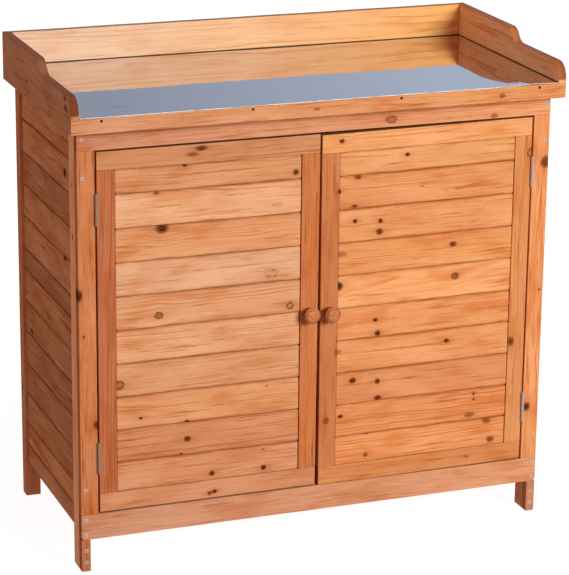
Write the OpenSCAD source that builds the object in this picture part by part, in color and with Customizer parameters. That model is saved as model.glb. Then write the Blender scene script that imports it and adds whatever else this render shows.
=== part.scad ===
// Potting bench: a softwood cabinet on short feet with two plank doors,
// a worktop covered with galvanised sheet and a low splash rim on three sides.
// Millimetres. +Z is up, the front faces -Y, the origin is on the floor under
// the middle of the bench.

/* [Overall] */
// Overall width, outside to outside of the side splash boards
bench_w = 980; // [940:10:1040]
// Overall depth, front edge of the worktop to the back splash board
bench_d = 480; // [460:5:520]
// Height of the metal worktop above the floor
worktop_h = 888; // [868:2:908]
// Height of the splash rim above the worktop
rim_h = 64; // [52:2:80]

/* [Worktop] */
// Height of the front edge strip, with the sheet on it
strip_h = 30; // [28:1:34]
// Overhang of the worktop in front of the cabinet frame
front_overhang = 27; // [26:1:30]
// Overhang of the worktop at each side of the cabinet
side_overhang = 17.3; // [16:0.1:20]
// Overhang of the worktop behind the cabinet
back_overhang = 22.8; // [21:0.1:26]
// Thickness of the splash boards
rim_t = 16; // [15:0.5:18]
// Height of the low front part of the side splash boards above the worktop
rim_low_h = 38; // [34:1:42]
// Thickness of the galvanised sheet
sheet_t = 0.8; // [0.6:0.1:1.2]

/* [Laths and planks] */
// Wide side of the frame laths
lath_w = 34; // [32:1:38]
// Narrow side of the frame laths
lath_t = 18; // [17:0.5:20]
// Thickness of the tongue and groove planks
plank_t = 12; // [11:0.5:12.5]
// Visible pitch of the planks
plank_pitch = 65.3; // [62:0.1:68]
// Width of the open joint line between planks
joint_gap = 1; // [0.6:0.1:1.6]

/* [Cabinet] */
// Height of the bottom edge of the front bottom rail above the floor
foot_h = 64.4; // [58:0.2:72]
// Height of the front bottom rail
bottom_rail_h = 50; // [48:1:54]
// Height of the front top rail
top_rail_h = 37.6; // [36:0.2:44]
// Height of the side and back panels' bottom rails
side_rail_h = 42; // [40:1:46]
// Height of the lower edge of the side and back panels above the floor
panel_z = 70; // [66:1:76]
// Height of the lower edge of the narrow middle plank above the floor
mid_rail_z = 484; // [470:2:500]
// Height of the shelf's upper face above the floor
shelf_z = 508; // [490:2:526]

/* [Doors] */
// Gap between a door and the frame around it
door_gap = 3.2; // [3:0.1:4]
// Drop of the free edge of the right door, which hangs a little low
right_door_sag = 2.9; // [0:0.1:2.9]
// Height of the door rails
door_rail_h = 36; // [34:1:40]
// Width of the door stiles
door_stile_w = 34.6; // [33:0.2:38]
// Height of the knobs' axes above the floor
knob_z = 469.5; // [440:0.5:500]
// Diameter of the knobs
knob_d = 32; // [28:1:33]

/* [Hinges and fasteners] */
// Height of each hinge
hinge_h = 60; // [50:5:70]
// Outer radius of the hinge knuckles
knuckle_r = 2.8; // [2.6:0.1:2.8]
// Radius of the hinge pins
pin_r = 1.4; // [1.2:0.1:1.4]
// Radial clearance between the pins and the doors' knuckles
pin_clear = 0.06; // [0.03:0.01:0.08]
// Thickness of the hinge leaves
leaf_t = 1.2; // [1:0.1:1.2]
// Radius of the frame screws' heads
screw_head_r = 3.8; // [3.4:0.1:4.2]

/* [Hidden] */
eps = 0.01;
core_gap = 0.05;   // half the gap left between neighbouring planks where they meet

// Cabinet planes
y_front = -bench_d / 2;                    // front face of the worktop strip
y_back = bench_d / 2;                      // back face of the back splash board
yf = y_front + front_overhang;             // front face of the cabinet frame
yfb = yf + lath_t;                         // back face of the front frame
y_leg_f = yfb + lath_w;                    // back face of the front legs
yb = y_back - back_overhang;               // back face of the back legs
back_leg_d = 26;                           // depth of the back legs
y_leg_b = yb - back_leg_d;                 // front face of the back legs
xo = bench_w / 2 - side_overhang;          // outer face of the cabinet
xl = xo - lath_t;                          // inner face of the legs
x_open = xo - lath_w + 0.3;                // inner edge of the front stiles
z_cab = worktop_h - strip_h;               // top of the cabinet
z_rail_b = z_cab - top_rail_h;             // lower edge of the front top rail
z_rail_t = foot_h + bottom_rail_h;         // upper edge of the front bottom rail
rebate = 5;                                // depth of the rebates that hold the panels
y_panel_b = yb - 6;                        // back face of the back planks
y_panel_f = y_panel_b - plank_t;           // front face of the back planks
back_stile_w = 12;
mid_rail_h = 43.5;                         // height of the narrow middle plank

// Floor and shelf levels
floor_z = z_rail_t;
batten_h = 18;
y_shelf_b = y_panel_f - lath_t;
shelf_boards_n = 5;
shelf_pitch = 64.3;
y_shelf_f = y_shelf_b - shelf_boards_n * shelf_pitch;

// Worktop levels
z_sheet = worktop_h - sheet_t;             // underside of the sheet
z_plank = z_sheet - plank_t;               // underside of the worktop planks
xi_rim = bench_w / 2 - rim_t;              // inner face of the side splash boards
yi_rim = y_back - rim_t;                   // front face of the back splash board

// Door planes
z_door = z_rail_t + door_gap;              // lower edge of the doors
door_h = z_rail_b - door_gap - z_door;     // height of the doors
x_hinge_edge = x_open - door_gap;          // hinge edge of the doors
axis_x = x_open - door_gap / 2;            // hinge axis
axis_y = yf - 2.9;
edge_left = 2.3;                           // distance of the left door's free edge from the middle
edge_right = 4.3;                          // distance of the right door's free edge from the middle
edge_lean = 1.5;                           // lean of the free edges towards the middle at the top
plank_recess = 1.2;                        // recess of the door planks behind the frame face
hinge_zs = [227, 710];
seg_n = 5;
seg_h = hinge_h / seg_n;

wood = [0.80, 0.50, 0.30];
wood_light = [0.88, 0.64, 0.42];
wood_door = [0.86, 0.58, 0.36];
steel = [0.72, 0.73, 0.75];

// A cuboid given by its low and high corners
module box(a, b) { translate(a) cube([b[0] - a[0], b[1] - a[1], b[2] - a[2]]); }

// Points of an arc in the plane, angles in degrees
function arc(cx, cy, r, a0, a1, n) = [for (i = [0:n]) [cx + r * cos(a0 + (a1 - a0) * i / n), cy + r * sin(a0 + (a1 - a0) * i / n)]];

// Lower and upper edges of the side and back planks: whole planks above and below a narrow one
function upper_n() = floor((z_cab - mid_rail_z - mid_rail_h) / plank_pitch);
function upper_planks() = let (z0 = mid_rail_z + mid_rail_h, n = upper_n())
  [for (i = [0:n - 1]) [z0 + i * plank_pitch, i == n - 1 ? z_cab : z0 + (i + 1) * plank_pitch]];
function lower_planks() = let (zb = panel_z + side_rail_h, n = ceil((mid_rail_z - zb) / plank_pitch))
  [for (i = [0:n - 1]) [max(zb, mid_rail_z - (i + 1) * plank_pitch), mid_rail_z - i * plank_pitch]];
panel_planks = concat(upper_planks(), [[mid_rail_z, mid_rail_z + mid_rail_h]], lower_planks());

// Plank running along X between x0 and x1: a body with stepped edges on both faces, so that
// neighbouring planks show an open joint line and touch in the middle of their thickness.
module plank_x(x0, x1, y0, z0, z1) {
  g = joint_gap / 2;
  box([x0, y0, z0 + g], [x1, y0 + plank_t, z1 - g]);
  box([x0, y0 + plank_t / 3, z0 + core_gap], [x1, y0 + 2 * plank_t / 3, z1 - core_gap]);
}
// The same plank running along Y
module plank_y(x0, y0, y1, z0, z1) {
  g = joint_gap / 2;
  box([x0, y0, z0 + g], [x0 + plank_t, y1, z1 - g]);
  box([x0 + plank_t / 3, y0, z0 + core_gap], [x0 + 2 * plank_t / 3, y1, z1 - core_gap]);
}
// Flat boards that lie side by side, from y0, with n boards of the given pitch
module flat_boards(x0, x1, y0, n, pitch, z0) {
  g = joint_gap / 2;
  for (i = [0:n - 1]) {
    box([x0, y0 + i * pitch + g, z0], [x1, y0 + (i + 1) * pitch - g, z0 + plank_t]);
    box([x0, y0 + i * pitch + core_gap, z0 + plank_t / 3], [x1, y0 + (i + 1) * pitch - core_gap, z0 + 2 * plank_t / 3]);
  }
}

// ---- Front frame ----
module front_top_rail() {
  color(wood) box([-xo, yf, z_rail_b], [xo, yfb, z_cab]);
}
module front_bottom_rail() {
  r = 8;
  color(wood) translate([0, yfb, 0]) rotate([90, 0, 0]) linear_extrude(height = lath_t)
    polygon(concat([[xo, z_rail_t], [-xo, z_rail_t]], arc(-xo + r, foot_h + r, r, 180, 270, 8), arc(xo - r, foot_h + r, r, 270, 360, 8)));
}
module front_stile(s) {
  x0 = s > 0 ? x_open : -xo;
  x1 = s > 0 ? xo : -x_open;
  color(wood) box([x0, yf, z_rail_t], [x1, yfb, z_rail_b]);
}
module front_stile_left() { front_stile(-1); }
module front_stile_right() { front_stile(1); }
module foot_block(s) {
  x0 = s > 0 ? xl : -xo;
  x1 = s > 0 ? xo : -xl;
  color(wood) box([x0, yf, 0], [x1, yfb, foot_h]);
}
module foot_block_left() { foot_block(-1); }
module foot_block_right() { foot_block(1); }

// ---- Legs, with a rebate along the inner edge for the side planks ----
module leg(s, y0, y1, yr0, yr1) {
  x0 = s > 0 ? xl : -xo;
  x1 = s > 0 ? xo : -xl;
  px0 = s > 0 ? xl - eps : -xl - plank_t;
  px1 = s > 0 ? xl + plank_t : -xl + eps;
  color(wood) difference() {
    box([x0, y0, 0], [x1, y1, z_cab]);
    box([px0, yr0, panel_z], [px1, yr1, z_cab + 1]);
  }
}
module leg_front_left() { leg(-1, yfb, y_leg_f, y_leg_f - rebate, y_leg_f + 1); }
module leg_front_right() { leg(1, yfb, y_leg_f, y_leg_f - rebate, y_leg_f + 1); }
module leg_back_left() { leg(-1, y_leg_b, yb, y_leg_b - 1, y_leg_b + rebate); }
module leg_back_right() { leg(1, y_leg_b, yb, y_leg_b - 1, y_leg_b + rebate); }

// ---- Side panels ----
module side_planks(s) {
  x0 = s > 0 ? xl : -xl - plank_t;
  color(wood_light) for (p = panel_planks) plank_y(x0, y_leg_f - rebate, y_leg_b + rebate, p[0], p[1]);
}
module side_bottom_rail(s) {
  x0 = s > 0 ? xl : -xl - plank_t;
  color(wood) plank_y(x0, y_leg_f - rebate, y_leg_b + rebate, panel_z, panel_z + side_rail_h);
}
module side_planks_left() { side_planks(-1); }
module side_planks_right() { side_planks(1); }
module side_bottom_rail_left() { side_bottom_rail(-1); }
module side_bottom_rail_right() { side_bottom_rail(1); }

// ---- Back panel ----
module back_stile(s) {
  x0 = s > 0 ? xl - back_stile_w : -xl;
  x1 = s > 0 ? xl : -xl + back_stile_w;
  g0 = s > 0 ? xl - back_stile_w - 1 : -xl + back_stile_w - rebate;
  g1 = s > 0 ? xl - back_stile_w + rebate : -xl + back_stile_w + 1;
  color(wood) difference() {
    box([x0, y_leg_b, 0], [x1, yb, z_cab]);
    box([g0, y_panel_f, panel_z], [g1, y_panel_b, z_cab + 1]);
  }
}
module back_stile_left() { back_stile(-1); }
module back_stile_right() { back_stile(1); }
xp = xl - back_stile_w + rebate;
module back_planks() {
  color(wood_light) for (p = panel_planks) plank_x(-xp, xp, y_panel_f, p[0], p[1]);
}
module back_bottom_rail() {
  color(wood) plank_x(-xp, xp, y_panel_f, panel_z, panel_z + side_rail_h);
}
module back_centre_batten() {
  color(wood) box([-lath_w / 2, y_panel_f - lath_t, floor_z], [lath_w / 2, y_panel_f, z_cab]);
}

// ---- Floor and shelf ----
module floor_boards() {
  n = 6;
  color(wood_light) flat_boards(-xl + 0.5, xl - 0.5, yfb, n, (y_leg_b - yfb) / n, floor_z - plank_t);
}
module floor_battens() {
  z1 = floor_z - plank_t;
  color(wood) {
    for (s = [-1, 1]) translate([s * (xl - lath_t / 2), 0, 0]) box([-lath_t / 2, yfb, z1 - batten_h], [lath_t / 2, y_leg_b, z1]);
    box([-lath_w / 2, yfb, z1 - batten_h], [lath_w / 2, y_panel_f, z1]);
  }
}
module shelf_boards() {
  color(wood_light) flat_boards(-xl + 0.5, xl - 0.5, y_shelf_f, shelf_boards_n, shelf_pitch, shelf_z - plank_t);
}
module shelf_battens() {
  z1 = shelf_z - plank_t;
  color(wood) {
    for (s = [-1, 1]) translate([s * (xl - lath_t / 2), 0, 0]) box([-lath_t / 2, y_leg_f, z1 - batten_h], [lath_t / 2, y_leg_b, z1]);
    box([-lath_w / 2, y_shelf_f, z1 - batten_h], [lath_w / 2, y_shelf_b, z1]);
  }
}

// ---- Worktop ----
module worktop_planks() {
  n = 7;
  color(wood_light) flat_boards(-xi_rim, xi_rim, y_front + lath_t, n, (yi_rim - y_front - lath_t) / n, z_plank);
}
module worktop_battens() {
  color(wood) for (x = [-(xi_rim - lath_w / 2), -150, 150, xi_rim - lath_w / 2])
    box([x - lath_w / 2, y_front + lath_t, z_cab], [x + lath_w / 2, yi_rim, z_plank]);
}
nail_xs = [-433, -145, 149, 434];
nail_z = z_plank + plank_t / 2;
module front_edge_strip() {
  color(wood) difference() {
    box([-bench_w / 2, y_front, z_cab], [bench_w / 2, y_front + lath_t, z_sheet]);
    for (x = nail_xs) translate([x, y_front + 2.5, nail_z]) rotate([90, 0, 0]) cylinder(h = 4, r = 1.7, $fn = 24);
  }
}
module strip_nails() {
  color(steel) for (x = nail_xs) translate([x, y_front + 2.5, nail_z]) rotate([-90, 0, 0]) cylinder(h = 42, r = 1.1, $fn = 24);
}
module splash_board_back() {
  color(wood_light) box([-xi_rim, yi_rim, z_cab], [xi_rim, y_back, worktop_h + rim_h]);
}
// Side splash board outline in the YZ plane: a high back part, an S-shaped step,
// a low front part with a rounded corner and a notch over the front edge strip
module splash_outline() {
  zt = worktop_h + rim_h;
  zl = worktop_h + rim_low_h;
  drop = zt - zl;
  run = 48;                                 // length of the S-shaped step
  ys = y_front + 235;                       // where the step leaves the upper edge
  r = (run * run + drop * drop) / (4 * drop);
  a = asin(run / 2 / r);
  rc = 31;                                  // radius of the front corner
  polygon(concat(
    [[y_front + lath_t, z_cab], [y_back, z_cab], [y_back, zt]],
    arc(ys, zt - r, r, 90, 90 + a, 8),
    arc(ys - run, zl + r, r, 270 + a, 270, 8),
    arc(y_front + rc, zl - rc, rc, 90, 180, 12),
    [[y_front, z_sheet], [y_front + lath_t, z_sheet]]));
}
module splash_board(s) {
  x0 = s > 0 ? xi_rim : -bench_w / 2;
  color(wood) translate([x0, 0, 0]) rotate([90, 0, 90]) linear_extrude(height = rim_t) splash_outline();
}
module splash_board_left() { splash_board(-1); }
module splash_board_right() { splash_board(1); }
module metal_sheet() {
  color([0.62, 0.66, 0.72]) box([-xi_rim, y_front, z_sheet], [xi_rim, yi_rim, worktop_h]);
}

// ---- Fasteners ----
// Countersunk wood screw, head at the origin, shank along +Y
module wood_screw(len, head_r = 3.8, shank_r = 2) {
  rotate([-90, 0, 0]) {
    translate([0, 0, -0.4]) cylinder(h = 0.5, r = head_r, $fn = 32);
    translate([0, 0, 0.1]) cylinder(h = head_r - shank_r, r1 = head_r, r2 = shank_r, $fn = 32);
    cylinder(h = len, r = shank_r, $fn = 24);
  }
}
screw_zs = [z_cab - 16, z_rail_b - 51, z_rail_t + 50.3, foot_h + 39.2, foot_h + 9.2, foot_h - 22.6, 18];
module frame_screws() {
  color(steel) for (s = [-1, 1], z = screw_zs) translate([s * (xo - 9.4), yf, z]) wood_screw(42, screw_head_r);
}
module magnetic_catches() {
  color([0.9, 0.9, 0.88]) for (x = [-40, 40]) translate([x - 15, 0, 0]) rotate([90, 0, 90]) linear_extrude(height = 30)
    polygon([[yfb, z_rail_b + 2], [yfb, z_rail_b + 26], [yfb + 14, z_rail_b + 26], [yfb + 14, z_rail_b - 20], [yfb + 1.4, z_rail_b - 20], [yfb + 1.4, z_rail_b + 2]]);
}

// ---- Hinges: five knuckles each, 1, 3 and 5 on the frame leaf, 2 and 4 on the door leaf ----
// s is the side of the leaf's plate, towards +X or -X; bore is the radius of the pin hole
module hinge_leaf(s, segs, bore) {
  xa = s > 0 ? door_gap / 2 - leaf_t : -door_gap / 2;
  difference() {
    union() {
      box([xa, yf - axis_y, -hinge_h / 2], [xa + leaf_t, yf - axis_y + 16, hinge_h / 2]);
      for (i = segs) {
        z0 = -hinge_h / 2 + i * seg_h + 0.15;
        box([xa, 0, z0], [xa + leaf_t, yf - axis_y + 0.5, z0 + seg_h - 0.3]);
        translate([0, 0, z0]) cylinder(h = seg_h - 0.3, r = knuckle_r, $fn = 48);
      }
    }
    translate([0, 0, -hinge_h / 2 - 1]) cylinder(h = hinge_h + 2, r = bore, $fn = 48);
  }
}
module hinge_leaves(side, is_frame) {
  color(steel) for (z = hinge_zs) translate([side * axis_x, axis_y, z])
    hinge_leaf(is_frame ? side : -side, is_frame ? [0, 2, 4] : [1, 3], is_frame ? pin_r : pin_r + pin_clear);
}
module hinge_frame_leaves_left() { hinge_leaves(-1, true); }
module hinge_frame_leaves_right() { hinge_leaves(1, true); }
module hinge_pins(side) {
  color(steel) for (z = hinge_zs) translate([side * axis_x, axis_y, z - hinge_h / 2]) {
    cylinder(h = hinge_h, r = pin_r, $fn = 48);
    for (e = [-0.8, hinge_h]) translate([0, 0, e]) cylinder(h = 0.8, r = pin_r + 0.6, $fn = 48);
  }
}
module hinge_pins_left() { hinge_pins(-1); }
module hinge_pins_right() { hinge_pins(1); }
// Small screws that hold a leaf; d is the direction of the shank along X
module leaf_screws(x, d) {
  for (z = hinge_zs, dz = [-20, 0, 20]) translate([x, yf + 8, z + dz]) rotate([0, d * 90, 0]) {
    cylinder(h = leaf_t + 0.25, r = 2.6, $fn = 32);
    cylinder(h = 15, r = 1.3, $fn = 24);
  }
}
module hinge_frame_screws() {
  color(steel) {
    leaf_screws(x_open - leaf_t - 0.25, 1);
    leaf_screws(-x_open + leaf_t + 0.25, -1);
  }
}
module door_left_hinge_leaves() { hinge_leaves(-1, false); }
module door_right_hinge_leaves() { hinge_leaves(1, false); }
module door_left_hinge_screws() { color(steel) leaf_screws(-x_hinge_edge - leaf_t - 0.25, 1); }
module door_right_hinge_screws() { color(steel) leaf_screws(x_hinge_edge + leaf_t + 0.25, -1); }

// ---- Doors ----
// A door is laid out with its hinge edge at u = 0 and its free edge at u = w; v is the
// height above the door's lower edge. The free edge hangs low by sag and leans by edge_lean.
function door_w(side) = x_hinge_edge - (side < 0 ? edge_left : edge_right);
function sag(side) = side < 0 ? 0 : right_door_sag;
function dz(side, u) = -sag(side) * u / door_w(side);
function lean(v) = edge_lean * v / door_h;
// Prism with the front view outline u0..u1, v0..v1, sheared with the door, from y0 to y1
// behind the frame face; free is true where the u1 edge is the door's free edge
module door_prism(side, u0, u1, v0, v1, y0, y1, free = false) {
  f0 = free ? lean(v0) : 0;
  f1 = free ? lean(v1) : 0;
  pts = [[u0, v0 + dz(side, u0)], [u1 + f0, v0 + dz(side, u1)], [u1 + f1, v1 + dz(side, u1)], [u0, v1 + dz(side, u0)]];
  q = [for (p = pts) [side * (x_hinge_edge - p[0]), z_door + p[1]]];
  translate([0, yf + y1, 0]) rotate([90, 0, 0]) linear_extrude(height = y1 - y0) polygon(q);
}
groove_y = plank_recess + plank_t / 3;       // front of the groove in the door frame
tongue_t = plank_t / 3;
tongue_l = 5;
stile_in = door_stile_w;
module door_groove(side) {
  w = door_w(side);
  door_prism(side, stile_in - tongue_l, w - stile_in + tongue_l, door_rail_h - tongue_l, door_h - door_rail_h + tongue_l, groove_y, groove_y + tongue_t);
}
module door_rail(side, top) {
  w = door_w(side);
  v0 = top ? door_h - door_rail_h : 0;
  color(wood_door) difference() {
    door_prism(side, 0, w, v0, v0 + door_rail_h, 0, lath_t, true);
    door_groove(side);
  }
}
module door_hinge_stile(side) {
  color(wood) difference() {
    door_prism(side, 0, stile_in, door_rail_h, door_h - door_rail_h, 0, lath_t);
    door_groove(side);
  }
}
module door_meeting_stile(side) {
  w = door_w(side);
  color(wood) difference() {
    door_prism(side, w - stile_in, w, door_rail_h, door_h - door_rail_h, 0, lath_t, true);
    door_groove(side);
  }
}
first_joint = 94.2;                          // first joint line above the door's lower edge
function door_joints() = let (n = floor((door_h - door_rail_h - 12 - first_joint) / plank_pitch))
  concat([door_rail_h], [for (i = [0:n]) first_joint + i * plank_pitch], [door_h - door_rail_h]);
module door_planks(side) {
  w = door_w(side);
  j = door_joints();
  last = len(j) - 2;
  g = joint_gap / 2;
  color(wood_door) for (i = [0:last]) {
    door_prism(side, stile_in + 0.6, w - stile_in - 0.6, j[i] + g, j[i + 1] - g, plank_recess, plank_recess + plank_t);
    door_prism(side, stile_in - tongue_l, w - stile_in + tongue_l, i == 0 ? j[i] - tongue_l : j[i] + core_gap, i == last ? j[i + 1] + tongue_l : j[i + 1] - core_gap, groove_y, groove_y + tongue_t);
  }
}
knob_u = 17.3;                               // distance of the knob's axis from the free edge
function knob_pos(side) = [side * (x_hinge_edge - door_w(side) + knob_u), yf, knob_z + dz(side, door_w(side) - knob_u)];
knob_h = front_overhang;
module knob_profile() {
  k = knob_d / 32;
  polygon([[0, 0], [10 * k, 0], [10.4 * k, 1], [10 * k, 2], [8.6 * k, 4], [8.2 * k, 6], [8.8 * k, 8], [11 * k, 10.5], [14 * k, 13], [15.6 * k, 15.5],
    [16 * k, 18], [15.6 * k, 20.6], [14.4 * k, 23], [12 * k, 25], [8.5 * k, 26.3], [4 * k, knob_h - 0.1], [0, knob_h]]);
}
module door_knob(side) {
  color(wood_door) translate(knob_pos(side)) rotate([90, 0, 0]) rotate_extrude($fn = 64) knob_profile();
}
module door_knob_screw(side) {
  p = knob_pos(side);
  color(steel) translate([p[0], yfb, p[2]]) rotate([90, 0, 0]) {
    translate([0, 0, -2]) cylinder(h = 2, r = 4, $fn = 32);
    cylinder(h = lath_t + 14, r = 2, $fn = 24);
  }
}
module door_strike_plate(side) {
  x = side * 40;
  color(steel) box([x - 11, yfb, z_rail_b - 19], [x + 11, yfb + 1.2, z_rail_b - 8]);
}
module door_left_top_rail() { door_rail(-1, true); }
module door_left_bottom_rail() { door_rail(-1, false); }
module door_left_hinge_stile() { door_hinge_stile(-1); }
module door_left_meeting_stile() { door_meeting_stile(-1); }
module door_left_planks() { door_planks(-1); }
module door_left_knob() { door_knob(-1); }
module door_left_knob_screw() { door_knob_screw(-1); }
module door_left_strike_plate() { door_strike_plate(-1); }
module door_right_top_rail() { door_rail(1, true); }
module door_right_bottom_rail() { door_rail(1, false); }
module door_right_hinge_stile() { door_hinge_stile(1); }
module door_right_meeting_stile() { door_meeting_stile(1); }
module door_right_planks() { door_planks(1); }
module door_right_knob() { door_knob(1); }
module door_right_knob_screw() { door_knob_screw(1); }
module door_right_strike_plate() { door_strike_plate(1); }

front_top_rail();
front_bottom_rail();
front_stile_left();
front_stile_right();
foot_block_left();
foot_block_right();
leg_front_left();
leg_front_right();
leg_back_left();
leg_back_right();
side_planks_left();
side_planks_right();
side_bottom_rail_left();
side_bottom_rail_right();
back_stile_left();
back_stile_right();
back_planks();
back_bottom_rail();
back_centre_batten();
floor_boards();
floor_battens();
shelf_boards();
shelf_battens();
worktop_planks();
worktop_battens();
front_edge_strip();
splash_board_back();
splash_board_left();
splash_board_right();
metal_sheet();
frame_screws();
strip_nails();
magnetic_catches();
hinge_frame_leaves_left();
hinge_frame_leaves_right();
hinge_pins_left();
hinge_pins_right();
hinge_frame_screws();
door_left_top_rail();
door_left_bottom_rail();
door_left_hinge_stile();
door_left_meeting_stile();
door_left_planks();
door_left_knob();
door_left_knob_screw();
door_left_hinge_leaves();
door_left_hinge_screws();
door_left_strike_plate();
door_right_top_rail();
door_right_bottom_rail();
door_right_hinge_stile();
door_right_meeting_stile();
door_right_planks();
door_right_knob();
door_right_knob_screw();
door_right_hinge_leaves();
door_right_hinge_screws();
door_right_strike_plate();
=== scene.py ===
import math
import random

import bmesh
import bpy
import numpy as np
from mathutils import Matrix, Vector
from mathutils.geometry import tessellate_polygon

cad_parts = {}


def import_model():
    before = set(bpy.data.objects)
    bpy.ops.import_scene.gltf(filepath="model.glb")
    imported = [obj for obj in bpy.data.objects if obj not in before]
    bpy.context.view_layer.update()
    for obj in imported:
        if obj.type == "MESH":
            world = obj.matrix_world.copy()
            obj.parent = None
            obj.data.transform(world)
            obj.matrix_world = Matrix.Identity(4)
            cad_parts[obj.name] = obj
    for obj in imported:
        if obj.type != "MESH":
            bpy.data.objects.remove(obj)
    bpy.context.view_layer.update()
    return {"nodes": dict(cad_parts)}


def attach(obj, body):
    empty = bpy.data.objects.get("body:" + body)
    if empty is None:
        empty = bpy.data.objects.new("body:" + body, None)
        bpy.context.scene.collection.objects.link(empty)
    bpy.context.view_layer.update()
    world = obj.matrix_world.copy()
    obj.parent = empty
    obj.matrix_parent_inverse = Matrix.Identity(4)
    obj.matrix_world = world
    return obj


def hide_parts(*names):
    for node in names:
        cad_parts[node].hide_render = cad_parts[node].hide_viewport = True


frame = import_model()


scene = bpy.context.scene
RNG = random.Random(394)

# ---------------------------------------------------------------- planes, mm
YF, YFB, YLF, YLB, YB = -213.0, -195.0, -161.0, 191.2, 217.2
XO, XL, XOP, XH = 472.7, 454.7, 439.0, 435.8
ZFOOT, ZRT, ZRB, ZCAB = 64.4, 114.4, 820.4, 858.0
ZDOOR, DOORH = 117.6, 699.6
YFRONT, YBACK, ZTOP, ZSH = -240.0, 240.0, 888.0, 887.2
XI, YI = 474.0, 224.0
RIM_T, RIM_L = 952.0, 926.0
MM = 0.001


def lin(r, g, b, k=0.90):
    out = []
    for c in (r, g, b):
        c = c / 255.0
        out.append((c / 12.92 if c <= 0.04045 else ((c + 0.055) / 1.055) ** 2.4) * k)
    return out


# ---------------------------------------------------------------- node helper
class Nodes:
    def __init__(self, name):
        self.mat = bpy.data.materials.new(name)
        self.mat.use_nodes = True
        self.t = self.mat.node_tree
        self.t.nodes.clear()
        self.out = self.t.nodes.new("ShaderNodeOutputMaterial")
        self.b = self.t.nodes.new("ShaderNodeBsdfPrincipled")
        self.t.links.new(self.b.outputs[0], self.out.inputs[0])

    def put(self, socket, x):
        if isinstance(x, bpy.types.NodeSocket):
            self.t.links.new(x, socket)
        elif x is not None:
            if hasattr(socket.default_value, "__len__") and not hasattr(x, "__len__"):
                x = [x] * len(socket.default_value)
            if hasattr(x, "__len__") and len(socket.default_value) == 4 and len(x) == 3:
                x = list(x) + [1.0]
            socket.default_value = x

    def m(self, op, a, b=None, c=None, clamp=False):
        n = self.t.nodes.new("ShaderNodeMath")
        n.operation = op
        n.use_clamp = clamp
        for i, x in enumerate((a, b, c)):
            if x is not None:
                self.put(n.inputs[i], x)
        return n.outputs[0]

    def v(self, op, a, b=None, scale=None):
        n = self.t.nodes.new("ShaderNodeVectorMath")
        n.operation = op
        self.put(n.inputs[0], a)
        if b is not None:
            self.put(n.inputs[1], b)
        if scale is not None:
            self.put(n.inputs["Scale"], scale)
        return n.outputs["Value"] if op in ("LENGTH", "DOT_PRODUCT", "DISTANCE") else n.outputs["Vector"]

    def attr(self, name):
        n = self.t.nodes.new("ShaderNodeAttribute")
        n.attribute_name = name
        return n

    def sep(self, x):
        n = self.t.nodes.new("ShaderNodeSeparateXYZ")
        self.put(n.inputs[0], x)
        return n.outputs[0], n.outputs[1], n.outputs[2]

    def comb(self, x, y, z):
        n = self.t.nodes.new("ShaderNodeCombineXYZ")
        for i, s in enumerate((x, y, z)):
            self.put(n.inputs[i], s)
        return n.outputs[0]

    def noise(self, vec, scale=1.0, detail=2.0, rough=0.5, dist=0.0):
        n = self.t.nodes.new("ShaderNodeTexNoise")
        self.put(n.inputs["Vector"], vec)
        n.inputs["Scale"].default_value = scale
        n.inputs["Detail"].default_value = detail
        n.inputs["Roughness"].default_value = rough
        n.inputs["Distortion"].default_value = dist
        return n.outputs["Fac"]

    def white(self, w):
        n = self.t.nodes.new("ShaderNodeTexWhiteNoise")
        n.noise_dimensions = "1D"
        self.put(n.inputs["W"], w)
        return n.outputs["Value"]

    def step(self, x, a, b, lo=0.0, hi=1.0):
        n = self.t.nodes.new("ShaderNodeMapRange")
        n.interpolation_type = "SMOOTHSTEP"
        self.put(n.inputs[0], x)
        n.inputs[1].default_value = a
        n.inputs[2].default_value = b
        n.inputs[3].default_value = lo
        n.inputs[4].default_value = hi
        return n.outputs[0]

    def mix(self, f, a, b, mode="MIX"):
        n = self.t.nodes.new("ShaderNodeMix")
        n.data_type = "RGBA"
        n.blend_type = mode
        self.put(n.inputs[0], f)
        self.put(n.inputs[6], a)
        self.put(n.inputs[7], b)
        return n.outputs[2]

    def bump(self, h, strength, distance):
        n = self.t.nodes.new("ShaderNodeBump")
        n.inputs["Strength"].default_value = strength
        n.inputs["Distance"].default_value = distance
        self.put(n.inputs["Height"], h)
        self.t.links.new(n.outputs[0], self.b.inputs["Normal"])


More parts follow.
